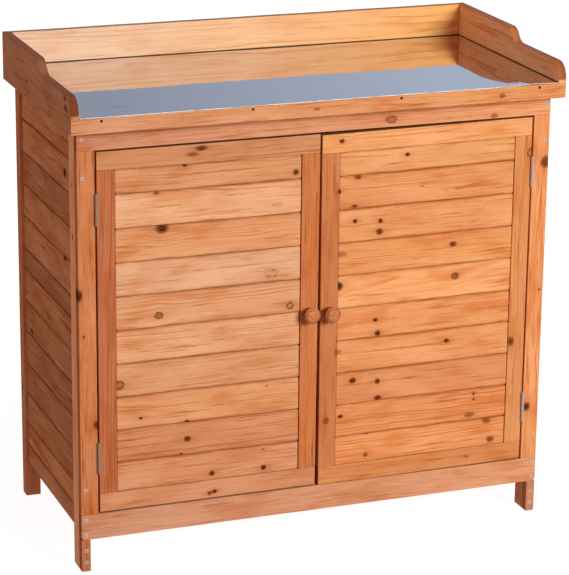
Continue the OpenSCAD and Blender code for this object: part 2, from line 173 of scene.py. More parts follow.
# ---------------------------------------------------------------- wood
def wood_material(name, coat=0.05, rough=0.47):
    g = Nodes(name)
    gr = g.attr("gr").outputs["Vector"]
    sd = g.attr("sd")
    seed, pv, pw = g.sep(sd.outputs["Color"])
    rw = sd.outputs["Alpha"]
    kd, kr, ke = (g.attr(a) for a in ("kd", "kr", "ke"))
    ed, en, slope = g.sep(g.attr("fx").outputs["Vector"])
    tint = g.attr("tint").outputs["Color"]
    con = g.attr("tint").outputs["Alpha"]
    u, v, w = g.sep(gr)
    shift = g.comb(g.m("MULTIPLY", seed, 13.7), g.m("MULTIPLY", seed, 7.3), g.m("MULTIPLY", seed, 3.1))

    def at(fu, fv):
        return g.v("ADD", g.v("MULTIPLY", gr, (fu, fv, fv)), shift)

    ragged = g.noise(at(0.35, 0.35), 1.0, 2.0)
    defl = core = deep = ringm = halo = tone = None
    for i, comp in enumerate(("R", "G", "B", "A")):
        k = g.attr("k%d" % i).outputs["Vector"]
        du, dv, _ = g.sep(g.v("SUBTRACT", gr, k))
        r = g.sep(k)[2]
        if comp == "A":
            dark, ring, el = kd.outputs["Alpha"], kr.outputs["Alpha"], ke.outputs["Alpha"]
        else:
            j = "RGB".index(comp)
            dark, ring, el = (g.sep(a.outputs["Color"])[j] for a in (kd, kr, ke))
        du = g.m("DIVIDE", du, g.m("MULTIPLY", r, el))
        dn = g.m("DIVIDE", dv, r)
        q2 = g.m("ADD", g.m("MULTIPLY", du, du), g.m("MULTIPLY", dn, dn))
        q = g.m("ADD", g.m("SQRT", q2), g.m("MULTIPLY", g.m("SUBTRACT", ragged, 0.5), 0.95))
        d = g.m("MULTIPLY", dv, g.m("DIVIDE", 2.4, g.m("ADD", q2, 2.4)))
        d = g.m("MULTIPLY", d, g.m("POWER", 2.718, g.m("MULTIPLY", g.m("MULTIPLY", du, du), -0.05)))
        there = g.m("MULTIPLY", g.m("MAXIMUM", dark, ring), 1.25, clamp=True)
        c = g.m("MULTIPLY", g.step(q, 1.12, 0.80), there)
        dp = g.m("MULTIPLY", g.step(q, 1.04, 0.56), dark)
        rg = g.m("SUBTRACT", q, 0.98)
        rg = g.m("MULTIPLY", g.m("POWER", 2.718, g.m("MULTIPLY", g.m("MULTIPLY", rg, rg), -22.0)), ring)
        ha = g.m("ADD", g.m("MULTIPLY", g.m("MULTIPLY", du, du), -0.10), g.m("MULTIPLY", g.m("MULTIPLY", dn, dn), -0.42))
        ha = g.m("MULTIPLY", g.m("POWER", 2.718, ha), g.m("MAXIMUM", dark, ring))
        defl = d if defl is None else g.m("ADD", defl, d)
        core = c if core is None else g.m("MAXIMUM", core, c)
        deep = dp if deep is None else g.m("MAXIMUM", deep, dp)
        # growth rings inside the knot
        tn = g.m("MULTIPLY", g.m("MULTIPLY_ADD", g.m("SINE", g.m("MULTIPLY", q, 11.0)), 0.5, 0.5), g.step(q, 0.90, 0.70))
        tone = tn if tone is None else g.m("MAXIMUM", tone, tn)
        ringm = rg if ringm is None else g.m("MAXIMUM", ringm, rg)
        halo = ha if halo is None else g.m("MAXIMUM", halo, ha)
    vv = g.m("SUBTRACT", v, defl)

    slow = g.m("SUBTRACT", g.noise(at(0.0035, 0.016), 1.0, 2.0), 0.5)
    slow2 = g.m("SUBTRACT", g.noise(at(0.011, 0.05), 1.0, 2.0), 0.5)
    a = g.m("SUBTRACT", vv, pv)
    a = g.m("ADD", a, g.m("MULTIPLY", slow, 22.0))
    b = g.m("ADD", w, pw)
    rad = g.m("SQRT", g.m("ADD", g.m("MULTIPLY", a, a), g.m("MULTIPLY", b, b)))
    rad = g.m("ADD", rad, g.m("MULTIPLY", u, slope))
    rad = g.m("ADD", rad, g.m("MULTIPLY", slow2, 3.0))
    phase = g.m("DIVIDE", rad, rw)
    fr = g.m("FRACT", phase)
    amp = g.m("POWER", g.white(g.m("ADD", g.m("FLOOR", phase), seed)), 1.8)
    patch = g.noise(at(0.006, 0.035), 1.0, 2.0)
    amp = g.m("MULTIPLY", amp, g.step(patch, 0.34, 0.62, 0.25, 1.3))
    late = g.m("MULTIPLY", g.step(fr, 0.55, 0.93), g.step(fr, 1.0, 0.96))
    late = g.m("MULTIPLY", late, amp)
    early = g.m("MULTIPLY", g.m("MULTIPLY", g.step(fr, 0.0, 0.05), g.step(fr, 0.45, 0.08)), amp)

    streak = g.noise(at(0.010, 0.21), 1.0, 5.0, 0.60)
    fibre = g.noise(at(0.04, 2.0), 1.0, 3.0, 0.6)
    blotch = g.noise(at(0.009, 0.022), 1.0, 2.0, 0.5)
    fleck = g.noise(at(0.045, 0.75), 1.0, 1.0)

    late_col = g.mix(1.0, tint, (0.74, 0.50, 0.32), "MULTIPLY")
    red_col = g.mix(1.0, tint, (0.88, 0.70, 0.56), "MULTIPLY")
    pale_col = g.mix(1.0, tint, (1.10, 1.20, 1.34), "MULTIPLY")
    brown = g.mix(1.0, tint, (0.52, 0.29, 0.15), "MULTIPLY")

    def amount(x, k):
        return g.m("MULTIPLY", x, g.m("MULTIPLY", con, k), clamp=True)

    col = g.mix(amount(g.step(blotch, 0.50, 0.70), 0.80), tint, red_col)
    col = g.mix(amount(g.step(blotch, 0.46, 0.27), 0.75), col, pale_col)
    col = g.mix(amount(late, 0.95), col, late_col)
    col = g.mix(amount(early, 0.40), col, pale_col)
    col = g.mix(amount(g.step(streak, 0.50, 0.72), 0.66), col, late_col)
    col = g.mix(amount(g.step(streak, 0.60, 0.74), 0.60), col, brown)
    hair = g.noise(at(0.016, 0.85), 1.0, 3.0, 0.6)
    col = g.mix(amount(g.step(hair, 0.58, 0.72), 0.55), col, late_col)
    col = g.mix(amount(g.step(streak, 0.48, 0.30), 0.50), col, pale_col)
    col = g.mix(amount(g.step(fibre, 0.52, 0.75), 0.40), col, late_col)
    col = g.mix(amount(g.step(fleck, 0.69, 0.77), 0.55), col, brown)
    # arrises paler: worn varnish and a painted highlight; the rounded edges in plank joints darker: painted shade in
    # the grooves; darker on the end grain, and along the splash boards' top rims, there partly painted shade
    col = g.mix(g.m("MULTIPLY", ed, 0.22, clamp=True), col, pale_col)
    stain = g.m("MULTIPLY", g.m("MULTIPLY", ed, -1.0, clamp=True), g.step(g.noise(at(0.012, 0.03), 1.0, 3.0, 0.6), 0.36, 0.62, 0.25, 1.0))
    col = g.mix(g.m("MULTIPLY", stain, 0.90), col, brown)
    col = g.mix(g.m("MULTIPLY", en, 0.75), col, brown)
    # knots: halo, brown heart, black-brown heart, bark ring
    col = g.mix(g.m("MULTIPLY", halo, 0.60), col, g.mix(1.0, tint, (0.72, 0.50, 0.36), "MULTIPLY"))
    grain_in = g.m("ADD", g.m("MULTIPLY", tone, 0.75), g.m("MULTIPLY", g.step(g.noise(at(0.5, 0.5), 1.0, 2.0), 0.35, 0.65), 0.45), clamp=True)
    heart = g.mix(grain_in, g.mix(1.0, tint, (0.60, 0.30, 0.13), "MULTIPLY"), g.mix(1.0, tint, (0.96, 0.80, 0.62), "MULTIPLY"))
    col = g.mix(g.m("MULTIPLY", core, 0.85), col, heart)
    inner = g.noise(at(0.6, 0.6), 1.0, 3.0, 0.6)
    knot_col = g.mix(g.m("MULTIPLY_ADD", g.step(inner, 0.36, 0.64), 0.55, g.m("MULTIPLY", tone, 0.6), clamp=True), (0.022, 0.004, 0.001, 1), (0.150, 0.036, 0.009, 1))
    col = g.mix(g.m("MULTIPLY", deep, 1.22, clamp=True), col, knot_col)
    col = g.mix(g.m("MULTIPLY", ringm, 0.95), col, (0.055, 0.010, 0.003, 1))
    g.put(g.b.inputs["Base Color"], col)

    ro = g.m("MULTIPLY_ADD", streak, 0.16, rough - 0.08)
    ro = g.m("ADD", ro, g.m("MULTIPLY", late, -0.05))
    ro = g.m("ADD", ro, g.m("MULTIPLY", en, 0.16))
    g.put(g.b.inputs["Roughness"], g.m("ADD", ro, g.m("MULTIPLY", core, 0.08), clamp=True))
    g.b.inputs["Coat Weight"].default_value = coat
    g.b.inputs["Coat Roughness"].default_value = 0.20
    g.b.inputs["Specular IOR Level"].default_value = 0.10
    h = g.m("ADD", g.m("MULTIPLY", fibre, 0.5), g.m("MULTIPLY", late, 0.45))
    h = g.m("SUBTRACT", h, g.m("MULTIPLY", g.m("MAXIMUM", core, ringm), 0.5))
    g.bump(h, 0.30, 0.00025)
    return g.mat


WOOD = wood_material("varnished_fir")


# ---------------------------------------------------------------- mesh collector
VEC = ("gr", "k0", "k1", "k2", "k3", "fx")
COL = ("sd", "tint", "kd", "kr", "ke")


class Piece:
    """Collects closed boards, with what the wood material reads from each, and makes one object."""

    def __init__(self, name):
        self.name = name
        self.co, self.faces = [], []
        self.at = {k: [] for k in VEC + COL}
        self.n = 0

    def add(self, co, faces, **at):
        co = np.asarray(co, float)
        self.co.append(co)
        self.faces += [tuple(i + self.n for i in f) for f in faces]
        for k in VEC + COL:
            a = np.asarray(at[k], float)
            w = 3 if k in VEC else 4
            if a.ndim == 1:
                a = np.tile(a[:w] if len(a) >= w else np.append(a, 1.0), (len(co), 1))
            self.at[k].append(a)
        self.n += len(co)

    def mesh(self):
        me = bpy.data.meshes.new(self.name)
        co = np.concatenate(self.co) * MM
        me.from_pydata(co.tolist(), [], self.faces)
        for k in VEC + COL:
            a = np.concatenate(self.at[k]).astype(np.float32)
            if k in VEC:
                me.attributes.new(k, "FLOAT_VECTOR", "POINT").data.foreach_set("vector", a.ravel())
            else:
                me.attributes.new(k, "FLOAT_COLOR", "POINT").data.foreach_set("color", a.ravel())
        me.validate()
        bm = bmesh.new()
        bm.from_mesh(me)
        bmesh.ops.recalc_face_normals(bm, faces=bm.faces)
        bm.to_mesh(me)
        bm.free()
        me.polygons.foreach_set("use_smooth", [True] * len(me.polygons))
        me.set_sharp_from_angle(angle=math.radians(50))
        return me

    def make(self, material, body, nodes, weighted=True):
        me = self.mesh()
        o = bpy.data.objects.new(self.name, me)
        scene.collection.objects.link(o)
        me.materials.append(material)
        if weighted:
            m = o.modifiers.new("weighted", "WEIGHTED_NORMAL")
            m.keep_sharp = True
        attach(o, body)
        if nodes:
            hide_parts(*nodes)
        return o


def wob(seed, amp, length):
    """A smooth wander of one edge, in mm, along the board."""
    r = random.Random(int(seed * 1e6))
    terms = [(r.uniform(0.4, 1.0), r.uniform(1.0, 6.0), r.uniform(0, 6.28)) for _ in range(4)]

    def f(u):
        return amp * sum(a * np.sin(k * u / length * 2 * math.pi + p) for a, k, p in terms) / 2.2

    return f


def board_params(tint, ring=None, pith=None, seed=None, slope=None, contrast=1.0):
    """What the grain of one board needs: seed, pith place and ring width, then tint with contrast, then the lean of its rings."""
    s = RNG.random() if seed is None else seed
    r2 = random.Random(int(s * 1e6) + 5)
    pv, pw = pith if pith else (r2.uniform(-60, 60), r2.uniform(12, 55))
    rw = ring or r2.uniform(3.6, 6.4)
    lean = r2.uniform(-0.03, 0.03) if slope is None else slope
    return s, [s, pv, pw, rw], [min(0.97, c) for c in tint] + [contrast], lean


def knot_attrs(local):
    """Up to four knots (u, v, r, dark, ring, elongation), in the board's own mm."""
    ks = sorted(local, key=lambda k: -k[2])[:4]
    out = {}
    kd, kr, ke = [0.0] * 4, [0.0] * 4, [1.0] * 4
    for i in range(4):
        if i < len(ks):
            out["k%d" % i] = [ks[i][0], ks[i][1], ks[i][2]]
            kd[i], kr[i], ke[i] = ks[i][3], ks[i][4], ks[i][5]
        else:
            out["k%d" % i] = [-9000.0, -9000.0, 1.0]
    out.update(kd=kd, kr=kr, ke=ke)
    return out


def section(W, T, r, inset, n=3):
    """Rounded rectangle, v from -W/2 to W/2 and w from 0 to T, inset all round, and how far round an arris each point is."""
    rc = max(r - inset, 0.06 * r)
    pts, e = [], []
    for cv, cw, a0 in ((1, 0, -90), (1, 1, 0), (-1, 1, 90), (-1, 0, 180)):
        c = (cv * (W / 2 - inset - rc), (T - inset - rc) if cw else inset + rc)
        for i in range(n + 1):
            t = math.radians(a0 + 90 * i / n)
            pts.append((c[0] + rc * math.cos(t), c[1] + rc * math.sin(t)))
            e.append(1.0 if 0 < i < n else 0.0)
    return pts, e


def loft(piece, sections, place, sd, tint, lean, knots, edge, wobble=None, ends=(1.0, 1.0), fade=None):
    """sections is a list of (u, [(v, w), ...]); every section has the same number of points."""
    m = len(sections[0][1])
    local, fx = [], []
    for si, (uu, pts) in enumerate(sections):
        cap = ends[0] if si == 0 else ends[1] if si == len(sections) - 1 else 0.0
        for pi, (pv, pw) in enumerate(pts):
            local.append((uu, pv, pw))
            fx.append((edge[pi], cap, lean))
    local = np.array(local, float)
    moved = local.copy()
    if wobble:
        top, bottom = wobble
        v = moved[:, 1]
        half = max(abs(v.min()), abs(v.max()))
        f = (v / half + 1) / 2
        moved[:, 1] = v + f * top(local[:, 0]) + (1 - f) * bottom(local[:, 0])
    co = place(moved[:, 0], moved[:, 1], moved[:, 2])
    faces = []
    n = len(sections)
    for s in range(n - 1):
        for i in range(m):
            j = (i + 1) % m
            faces.append((s * m + i, s * m + j, (s + 1) * m + j, (s + 1) * m + i))
    faces.append(tuple(range(m - 1, -1, -1)))
    faces.append(tuple((n - 1) * m + i for i in range(m)))
    if fade:
        f = (local[:, 0] / local[:, 0].max())[:, None]
        tint = np.hstack([np.array(tint[:3]) * (1 - f) + np.array(fade) * f, np.full((len(f), 1), tint[3])])
    piece.add(co, faces, gr=local, fx=np.array(fx), sd=sd, tint=tint, **knot_attrs(knots))


def paint_shade(piece, where, k):
    """Paints shade into the colour of the last board of a piece where the test on its (u, v, w) holds."""
    g, t = piece.at["gr"][-1], piece.at["tint"][-1]
    t[where(g), :3] *= k


def lath(piece, place, L, W, T, tint, knots=(), r=1.3, seg=1, wobble=0.0, fade=None, lines=(), **grain):
    """A rounded lath, u from 0 to L, v from -W/2 to W/2, w from 0, the show face, to T."""
    s, sd, t, lean = board_params(tint, **grain)
    secs = []
    for d in (0.0, 0.3, 1.0):
        i = r * (1 - math.sqrt(1 - (1 - d) ** 2)) if d < 1 else 0.0
        secs.append((d * r, section(W, T, r, i)[0]))
    e = section(W, T, r, 0)[1]
    mid = [(r + (L - 2 * r) * i / seg, section(W, T, r, 0)[0]) for i in range(1, seg)]
    if lines:
        # extra lengthwise edges on the show face, between its two lower corners
        e = e + [0.0] * len(lines)
        for group in (secs, mid):
            for k, (uu, q) in enumerate(group):
                group[k] = (uu, q + [(v, q[0][1]) for v in lines])
    tail = [(L - a, p) for a, p in reversed(secs)]
    wb = (wob(s, wobble, L), wob(s + 0.31, wobble, L)) if wobble else None
    loft(piece, secs + mid + tail, place, sd, t, lean, list(knots), e, wb, fade=fade)


def plank(piece, place, L, W, T, tint, knots=(), gap=0.75, core=0.05, r=1.25, seg=22, wobble=0.25, stain=1.0, **grain):
    """A tongued plank: open joint lines at both faces, the edges nearly touching inside."""
    s, sd, t, lean = board_params(tint, **grain)
    b, h = W / 2 - gap, W / 2 - core
    pts, e = [], []

    # The rounded edges at the joints are marked for painted shade in the joint grooves.
    def arc(cx, cy, a0):
        for i in range(4):
            a = math.radians(a0 + 30 * i)
            pts.append((cx + r * math.cos(a), cy + r * math.sin(a)))
            e.append(-stain)

    def flat(*ps):
        for p in ps:
            pts.append(p)
            e.append(0.0)

    pts.append((b - r - 3.6, 0.0))
    e.append(0.0)
    arc(b - r, r, -90)
    flat((b, T / 3), (h, T / 3), (h, 2 * T / 3), (b, 2 * T / 3))
    arc(b - r, T - r, 0)
    flat((b - r - 3.6, T), (-b + r + 3.6, T))
    arc(-b + r, T - r, 90)
    flat((-b, 2 * T / 3), (-h, 2 * T / 3), (-h, T / 3), (-b, T / 3))
    arc(-b + r, r, 180)
    pts.append((-b + r + 3.6, 0.0))
    e.append(0.0)
    def narrowed(c, d):
        return [(math.copysign(max(abs(v) - (c if abs(v) > b - 2 * r else 0), 0), v), min(max(w, d), T)) for v, w in pts]

    secs = [(0.0, narrowed(2.3, 0.9)), (0.6, narrowed(1.6, 0.3)), (1.7, narrowed(0.4, 0.0))]
    tail = [(L - a, q) for a, q in reversed(secs)]
    secs += [(2.4 + (L - 4.8) * i / seg, pts) for i in range(seg + 1)] + tail
    wb = (wob(s, wobble, L), wob(s + 0.31, wobble, L)) if wobble else None
    loft(piece, secs, place, sd, t, lean, list(knots), e, wb)


AX = {"x": 0, "y": 1, "z": 2}


def box_board(piece, lo, hi, grain, show, tint, knots=(), kind=lath, tilt=0.0, **kw):
    """A board given by its corners; grain is the axis of its fibres, show the outward side of its show face.
    Knots are (p, q, r, dark, ring, elongation), p and q along the two axes of the show face in x, y, z order."""
    ga, sa = AX[grain], AX[show[1]]
    va = 3 - ga - sa
    L, W, T = hi[ga] - lo[ga], hi[va] - lo[va], hi[sa] - lo[sa]
    vc = (hi[va] + lo[va]) / 2

    def place(u, v, w):
        out = np.zeros((len(u), 3))
        out[:, ga] = lo[ga] + u
        out[:, va] = vc + v
        w = w + tilt * v / max(W, 1)
        out[:, sa] = lo[sa] + w if show[0] == "-" else hi[sa] - w
        return out

    axes = sorted((ga, va))
    local = []
    for k in knots:
        p = {axes[0]: k[0], axes[1]: k[1]}
        if lo[ga] - 3 <= p[ga] <= hi[ga] + 3 and lo[va] - 3 <= p[va] <= hi[va] + 3:
            local.append((p[ga] - lo[ga], p[va] - vc, k[2], k[3], k[4], k[5]))
    kind(piece, place, L, W, T, tint, knots=local, **kw)


def chance_knots(lo, hi, axes, n, rmax=6.0, seed=0):
    """A few knots at fixed pseudo-random places on a face that the front view doesn't show."""
    r = random.Random(seed)
    a, b = axes
    return [(r.uniform(lo[a] + 15, hi[a] - 15), r.uniform(lo[b] + 4, hi[b] - 4), r.uniform(2.2, rmax), r.choice((0.0, 0.5, 0.8, 0.95)), r.uniform(0.3, 0.9), r.uniform(1.0, 1.7)) for _ in range(n)]


# ---------------------------------------------------------------- colours and knots
C_FRAME = lin(212, 138, 92)
C_SIDE = tuple(c * 0.862 for c in lin(220, 146, 101))
C_INNER = lin(222, 156, 108)
C_BACK = lin(222, 150, 102)

# Knots on the front: x, z, radius, darkness, ring, elongation
FRONT = [
    (-236, 809, 5, 0.75, 0.3, 2.4), (-253, 799, 4.5, 0.5, 0.2, 2.6), (-267, 779, 3.2, 0.9, 0.2, 1.6),
    (-322, 731, 3.4, 0.6, 0.3, 1.7), (-49, 748, 5.4, 0.9, 0.5, 1.0), (-86, 688, 3.6, 0.08, 0.22, 2.6),
    (-311, 663, 9.0, 0.85, 0.6, 1.25), (-97, 556, 10, 0.04, 0.16, 1.25), (-92, 561, 2.8, 0.35, 0.2, 1.5), (-101, 550, 3.2, 0.30, 0.2, 1.7), (-88, 549, 2.0, 0.35, 0.2, 1.3), (-318, 495, 6.2, 0.35, 0.95, 1.15),
    (-58, 487.6, 5.8, 0.1, 0.95, 1.1), (-131, 644, 2.6, 0.10, 0.20, 2.0), (-395, 366, 7.2, 0.2, 0.9, 1.1),
    (-354, 296, 3.0, 0.95, 0.3, 1.1), (-263, 279, 3.4, 0.85, 0.3, 1.5), (-262, 243.5, 5.4, 0.9, 0.4, 1.3),
    (-275, 215, 2.6, 0.7, 0.2, 1.5), (-109, 203.5, 2.0, 0.6, 0.2, 1.3), (-213, 167, 5.2, 0.95, 0.4, 1.1),
    (-108, 166, 5.2, 0.95, 0.4, 1.1), (-208, 130, 4.4, 0.9, 0.3, 1.2), (-218, 127.5, 4.0, 0.7, 0.5, 1.2),
    (-103, 331, 2.0, 0.3, 0.3, 1.5),
    (43.5, 800.6, 4.6, 0.85, 0.3, 1.2), (176.5, 764, 3.8, 0.85, 0.3, 1.4), (76.5, 727.6, 4.8, 0.65, 0.3, 1.6),
    (39, 703, 4.6, 0.85, 0.3, 1.0), (209, 699, 1.8, 0.5, 0.2, 1.6), (70.6, 671.5, 3.4, 0.7, 0.2, 2.2),
    (72, 642, 4.6, 0.9, 0.4, 1.0), (124, 638, 4.6, 0.9, 0.4, 1.0), (122.4, 617, 6.6, 0.75, 0.3, 1.1),
    (44, 579, 5.0, 0.35, 0.3, 2.4), (276.5, 578, 5.2, 0.75, 0.5, 1.4), (41, 516, 8.4, 0.95, 0.4, 1.0),
    (283.5, 513, 6.0, 0.55, 0.9, 1.2), (118, 440.6, 4.2, 0.85, 0.3, 1.2), (123, 413, 6.0, 0.85, 0.3, 1.1),
    (39, 383.5, 4.6, 0.4, 0.3, 1.8), (269, 382, 4.4, 0.85, 0.3, 1.5), (407, 366, 6.4, 0.72, 0.6, 1.3),
    (73, 322, 5.8, 0.85, 0.6, 1.1), (125, 315, 5.6, 0.85, 0.4, 1.0), (126, 281, 5.0, 0.85, 0.4, 1.5),
    (19, 246, 5.4, 0.45, 0.6, 1.2), (49, 251, 4.0, 0.9, 0.2, 1.4), (332, 264.7, 3.0, 0.9, 0.2, 1.0),
    (332, 253.5, 2.2, 0.9, 0.2, 1.0), (323.5, 222, 5.4, 0.5, 0.3, 2.0), (361, 206, 6.4, 0.55, 0.4, 1.4),
    (370.6, 165, 6.2, 0.6, 0.4, 1.3), (104, 209, 2.2, 0.5, 0.2, 1.2), (109, 189, 2.0, 0.7, 0.2, 1.0),
    (111, 179, 1.8, 0.8, 0.2, 1.0), (103.5, 165, 4.6, 0.6, 0.3, 1.0), (320, 135, 2.6, 0.4, 0.2, 1.8),
    (433.5, 747, 6.0, 0.05, 0.85, 1.2), (421, 565, 1.9, 0.0, 0.0, 1.0),
    (141, 835, 6.4, 0.30, 0.75, 1.5), (353.5, 826, 4.0, 0.40, 0.5, 1.6),
    (467, 726, 9.5, 0.70, 0.7, 1.1), (446.5, 225, 7.4, 0.85, 0.7, 1.05), (464.7, 467.6, 2.2, 0.95, 0.3, 1.0),
    (-472, 548, 7.0, 0.85, 0.5, 1.5), (-463.5, 469, 2.4, 0.95, 0.2, 1.0), (-441, 293.5, 5.6, 0.75, 0.4, 1.4),
    (356.4, 871, 4.6, 0.45, 0.4, 1.3), (-20, 873, 2.4, 0.55, 0.3, 2.4),
]
# Knots on the left side: y, z, ...
LEFT = [
    (-112, 756, 8.2, 0.95, 0.4, 1.15), (-103, 589, 5.0, 0.75, 0.3, 1.9), (147, 365, 5.6, 0.85, 0.4, 1.4),
    (-18, 304, 4.6, 0.15, 0.35, 1.8), (26, 710, 5.2, 0.05, 0.40, 1.9), (20, 439, 5.6, 0.05, 0.35, 2.0),
    (148, 388, 3.4, 0.3, 0.3, 1.6),
    (60, 893, 3.0, 0.75, 0.3, 1.5), (-202, 919, 4.6, 0.55, 0.7, 1.3), (-208, 902, 5.6, 0.7, 0.6, 1.4),
]
RIGHT = [(-84, 690, 5.5, 0.85, 0.4, 1.3), (62, 560, 7.0, 0.4, 0.8, 1.2), (120, 322, 4.6, 0.9, 0.3, 1.2), (-40, 200, 5.0, 0.6, 0.5, 1.6), (20, 800, 4.0, 0.8, 0.3, 1.3)]

# ---------------------------------------------------------------- front frame, legs, feet
p = Piece("wood_front_top_rail")
box_board(p, (-XO, YF, ZRB), (XO, YFB, ZCAB), "x", "-y", lin(204, 136, 103), FRONT, seg=24, wobble=0.15, pith=(-30, 16), ring=4.2, slope=0.008, contrast=1.2, fade=lin(230, 155, 105))
p.make(WOOD, "bench", ["front_top_rail"])

p = Piece("wood_front_bottom_rail")


def rounded_rail():
    """The bottom rail: a lath whose two lower corners are rounded to 8 mm in the front view."""
    L, W, T, r, R = 2 * XO, ZRT - ZFOOT, YFB - YF, 0.7, 8.0
    _, sd, t, lean = board_params(lin(205, 141, 109), 3.6, (18, 30))
    secs = []
    us = [0.0, 0.3, 0.7] + [R * (1 - math.cos(math.radians(a))) for a in (45, 60, 75, 90)]
    for uu in us:
        cut = R - math.sqrt(max(0.0, R * R - (R - min(uu, R)) ** 2))
        i = 0.0 if uu >= r else r * (1 - math.sqrt(max(0.0, 1 - (1 - uu / r) ** 2)))
        pts, e = section(W - cut, T, r, i)
        secs.append((uu, [(v + cut / 2, w) for v, w in pts]))
    tail = [(L - a, q) for a, q in reversed(secs)]

    def place(u, v, w):
        return np.stack([-XO + u, YF + w, (ZRT + ZFOOT) / 2 + v], 1)

    loft(p, secs + tail, place, sd, t, lean, [], section(W, T, r, 0)[1], fade=lin(221, 151, 108))
    # The top face under the doors is darkened nearly to black: painted shade in the gap below the doors.
    paint_shade(p, lambda g: (g[:, 1] > W / 2 - 0.4) & (g[:, 2] > 0.15) & (g[:, 0] > 30) & (g[:, 0] < L - 30), 0.07)


rounded_rail()
p.make(WOOD, "bench", ["front_bottom_rail"])

for s, side in ((-1, "left"), (1, "right")):
    x0, x1 = (XOP, XO) if s > 0 else (-XO, -XOP)
    p = Piece("wood_front_stile_" + side)
    box_board(p, (x0, YF, ZRT), (x1, YFB, ZRB), "z", "-y", lin(203, 124, 78) if s < 0 else lin(230, 148, 93), FRONT, pith=(2 * s, 17), ring=4.4, seg=12, wobble=0.1, slope=0.0165, contrast=1.5)
    p.make(WOOD, "bench", ["front_stile_" + side])
    x0, x1 = (XL, XO) if s > 0 else (-XO, -XL)
    p = Piece("wood_foot_block_" + side)
    box_board(p, (x0, YF, 0), (x1, YFB, ZFOOT), "z", "-y", lin(194, 124, 88))
    p.make(WOOD, "bench", ["foot_block_" + side])
    out = "+x" if s > 0 else "-x"
    p = Piece("wood_leg_front_" + side)
    box_board(p, (x0, YFB, 0), (x1, YLF, ZCAB), "z", out, tuple(c * k for c, k in zip(lin(252, 184, 138), (1.13, 1.08, 1.09))) if s < 0 else lin(236, 158, 112), chance_knots((x0, YFB, 0), (x1, YLF, ZCAB), (1, 2), 2, 4.0, 41 + s), seg=8)
    p.make(WOOD, "bench", ["leg_front_" + side])
    p = Piece("wood_leg_back_" + side)
    box_board(p, (x0, YLB, 0), (x1, YB, ZCAB), "z", out, tuple(c * 0.87 for c in lin(226, 150, 108)), chance_knots((x0, YLB, 0), (x1, YB, ZCAB), (1, 2), 2, 4.0, 51 + s), seg=8)
    p.make(WOOD, "bench", ["leg_back_" + side])

# ---------------------------------------------------------------- side and back panels
upper = [(527.5 + i * 65.3, 858.0 if i == 4 else 527.5 + (i + 1) * 65.3) for i in range(5)]
lower = [(max(112.0, 484 - (i + 1) * 65.3), 484 - i * 65.3) for i in range(6)]
PANEL = upper + [(484.0, 527.5)] + lower
side_tone = {0: 1.12, 1: 1.13, 2: 0.90, 3: 1.16, 4: 1.20, 5: 0.90, 6: 1.03, 7: 1.01, 8: 0.92, 9: 0.96, 10: 0.96, 11: 1.18}
for s, side in ((-1, "left"), (1, "right")):
    x0, x1 = (XL, XL + 12) if s > 0 else (-XL - 12, -XL)
    out = "+x" if s > 0 else "-x"
    p = Piece("wood_side_planks_" + side)
    for i, (z0, z1) in enumerate(PANEL):
        tint = [c * side_tone[i] * 1.02 for c in C_SIDE]
        off = RNG.uniform(0.0, 0.5)
        box_board(p, (x0 + (off if s < 0 else 0), YLF + 0.3, z0), (x1 - (off if s > 0 else 0), YLB - 0.3, z1), "y", out, tint, LEFT if s < 0 else RIGHT, kind=plank, tilt=RNG.uniform(0.2, 1.2), gap=1.0, contrast=1.75)
    p.make(WOOD, "bench", ["side_planks_" + side])
    p = Piece("wood_side_bottom_rail_" + side)
    box_board(p, (x0, YLF + 0.3, 70), (x1, YLB - 0.3, 112), "y", out, tuple(c * 0.87 for c in lin(226, 150, 108)), kind=plank)
    p.make(WOOD, "bench", ["side_bottom_rail_" + side])
    x0, x1 = (XL - 12, XL) if s > 0 else (-XL, -XL + 12)
    p = Piece("wood_back_stile_" + side)
    box_board(p, (x0, YLB, 0), (x1, YB, ZCAB), "z", "+y", C_FRAME, r=1.0)
    p.make(WOOD, "bench", ["back_stile_" + side])

p = Piece("wood_back_planks")
for i, (z0, z1) in enumerate(PANEL):
    lo, hi = (-442.4, 199.2, z0), (442.4, 211.2, z1)
    j = RNG.uniform(0.88, 1.06)
    box_board(p, lo, hi, "x", "+y", [c * j for c in C_BACK], chance_knots(lo, hi, (0, 2), RNG.choice((1, 2, 3, 4)), 7.5, 600 + i), kind=plank, tilt=RNG.uniform(-0.3, 0.3), seg=40)
p.make(WOOD, "bench", ["back_planks"])
p = Piece("wood_back_bottom_rail")
box_board(p, (-442.4, 199.2, 70), (442.4, 211.2, 112), "x", "+y", C_BACK, chance_knots((-442, 0, 70), (442, 0, 112), (0, 2), 3, 5, 77), kind=plank)
p.make(WOOD, "bench", ["back_bottom_rail"])
p = Piece("wood_back_centre_batten")
box_board(p, (-17, 181.2, ZRT), (17, 199.2, ZCAB), "z", "-y", C_INNER, chance_knots((-17, 0, ZRT), (17, 0, ZCAB), (0, 2), 3, 5, 78), seg=6)
p.make(WOOD, "bench", ["back_centre_batten"])

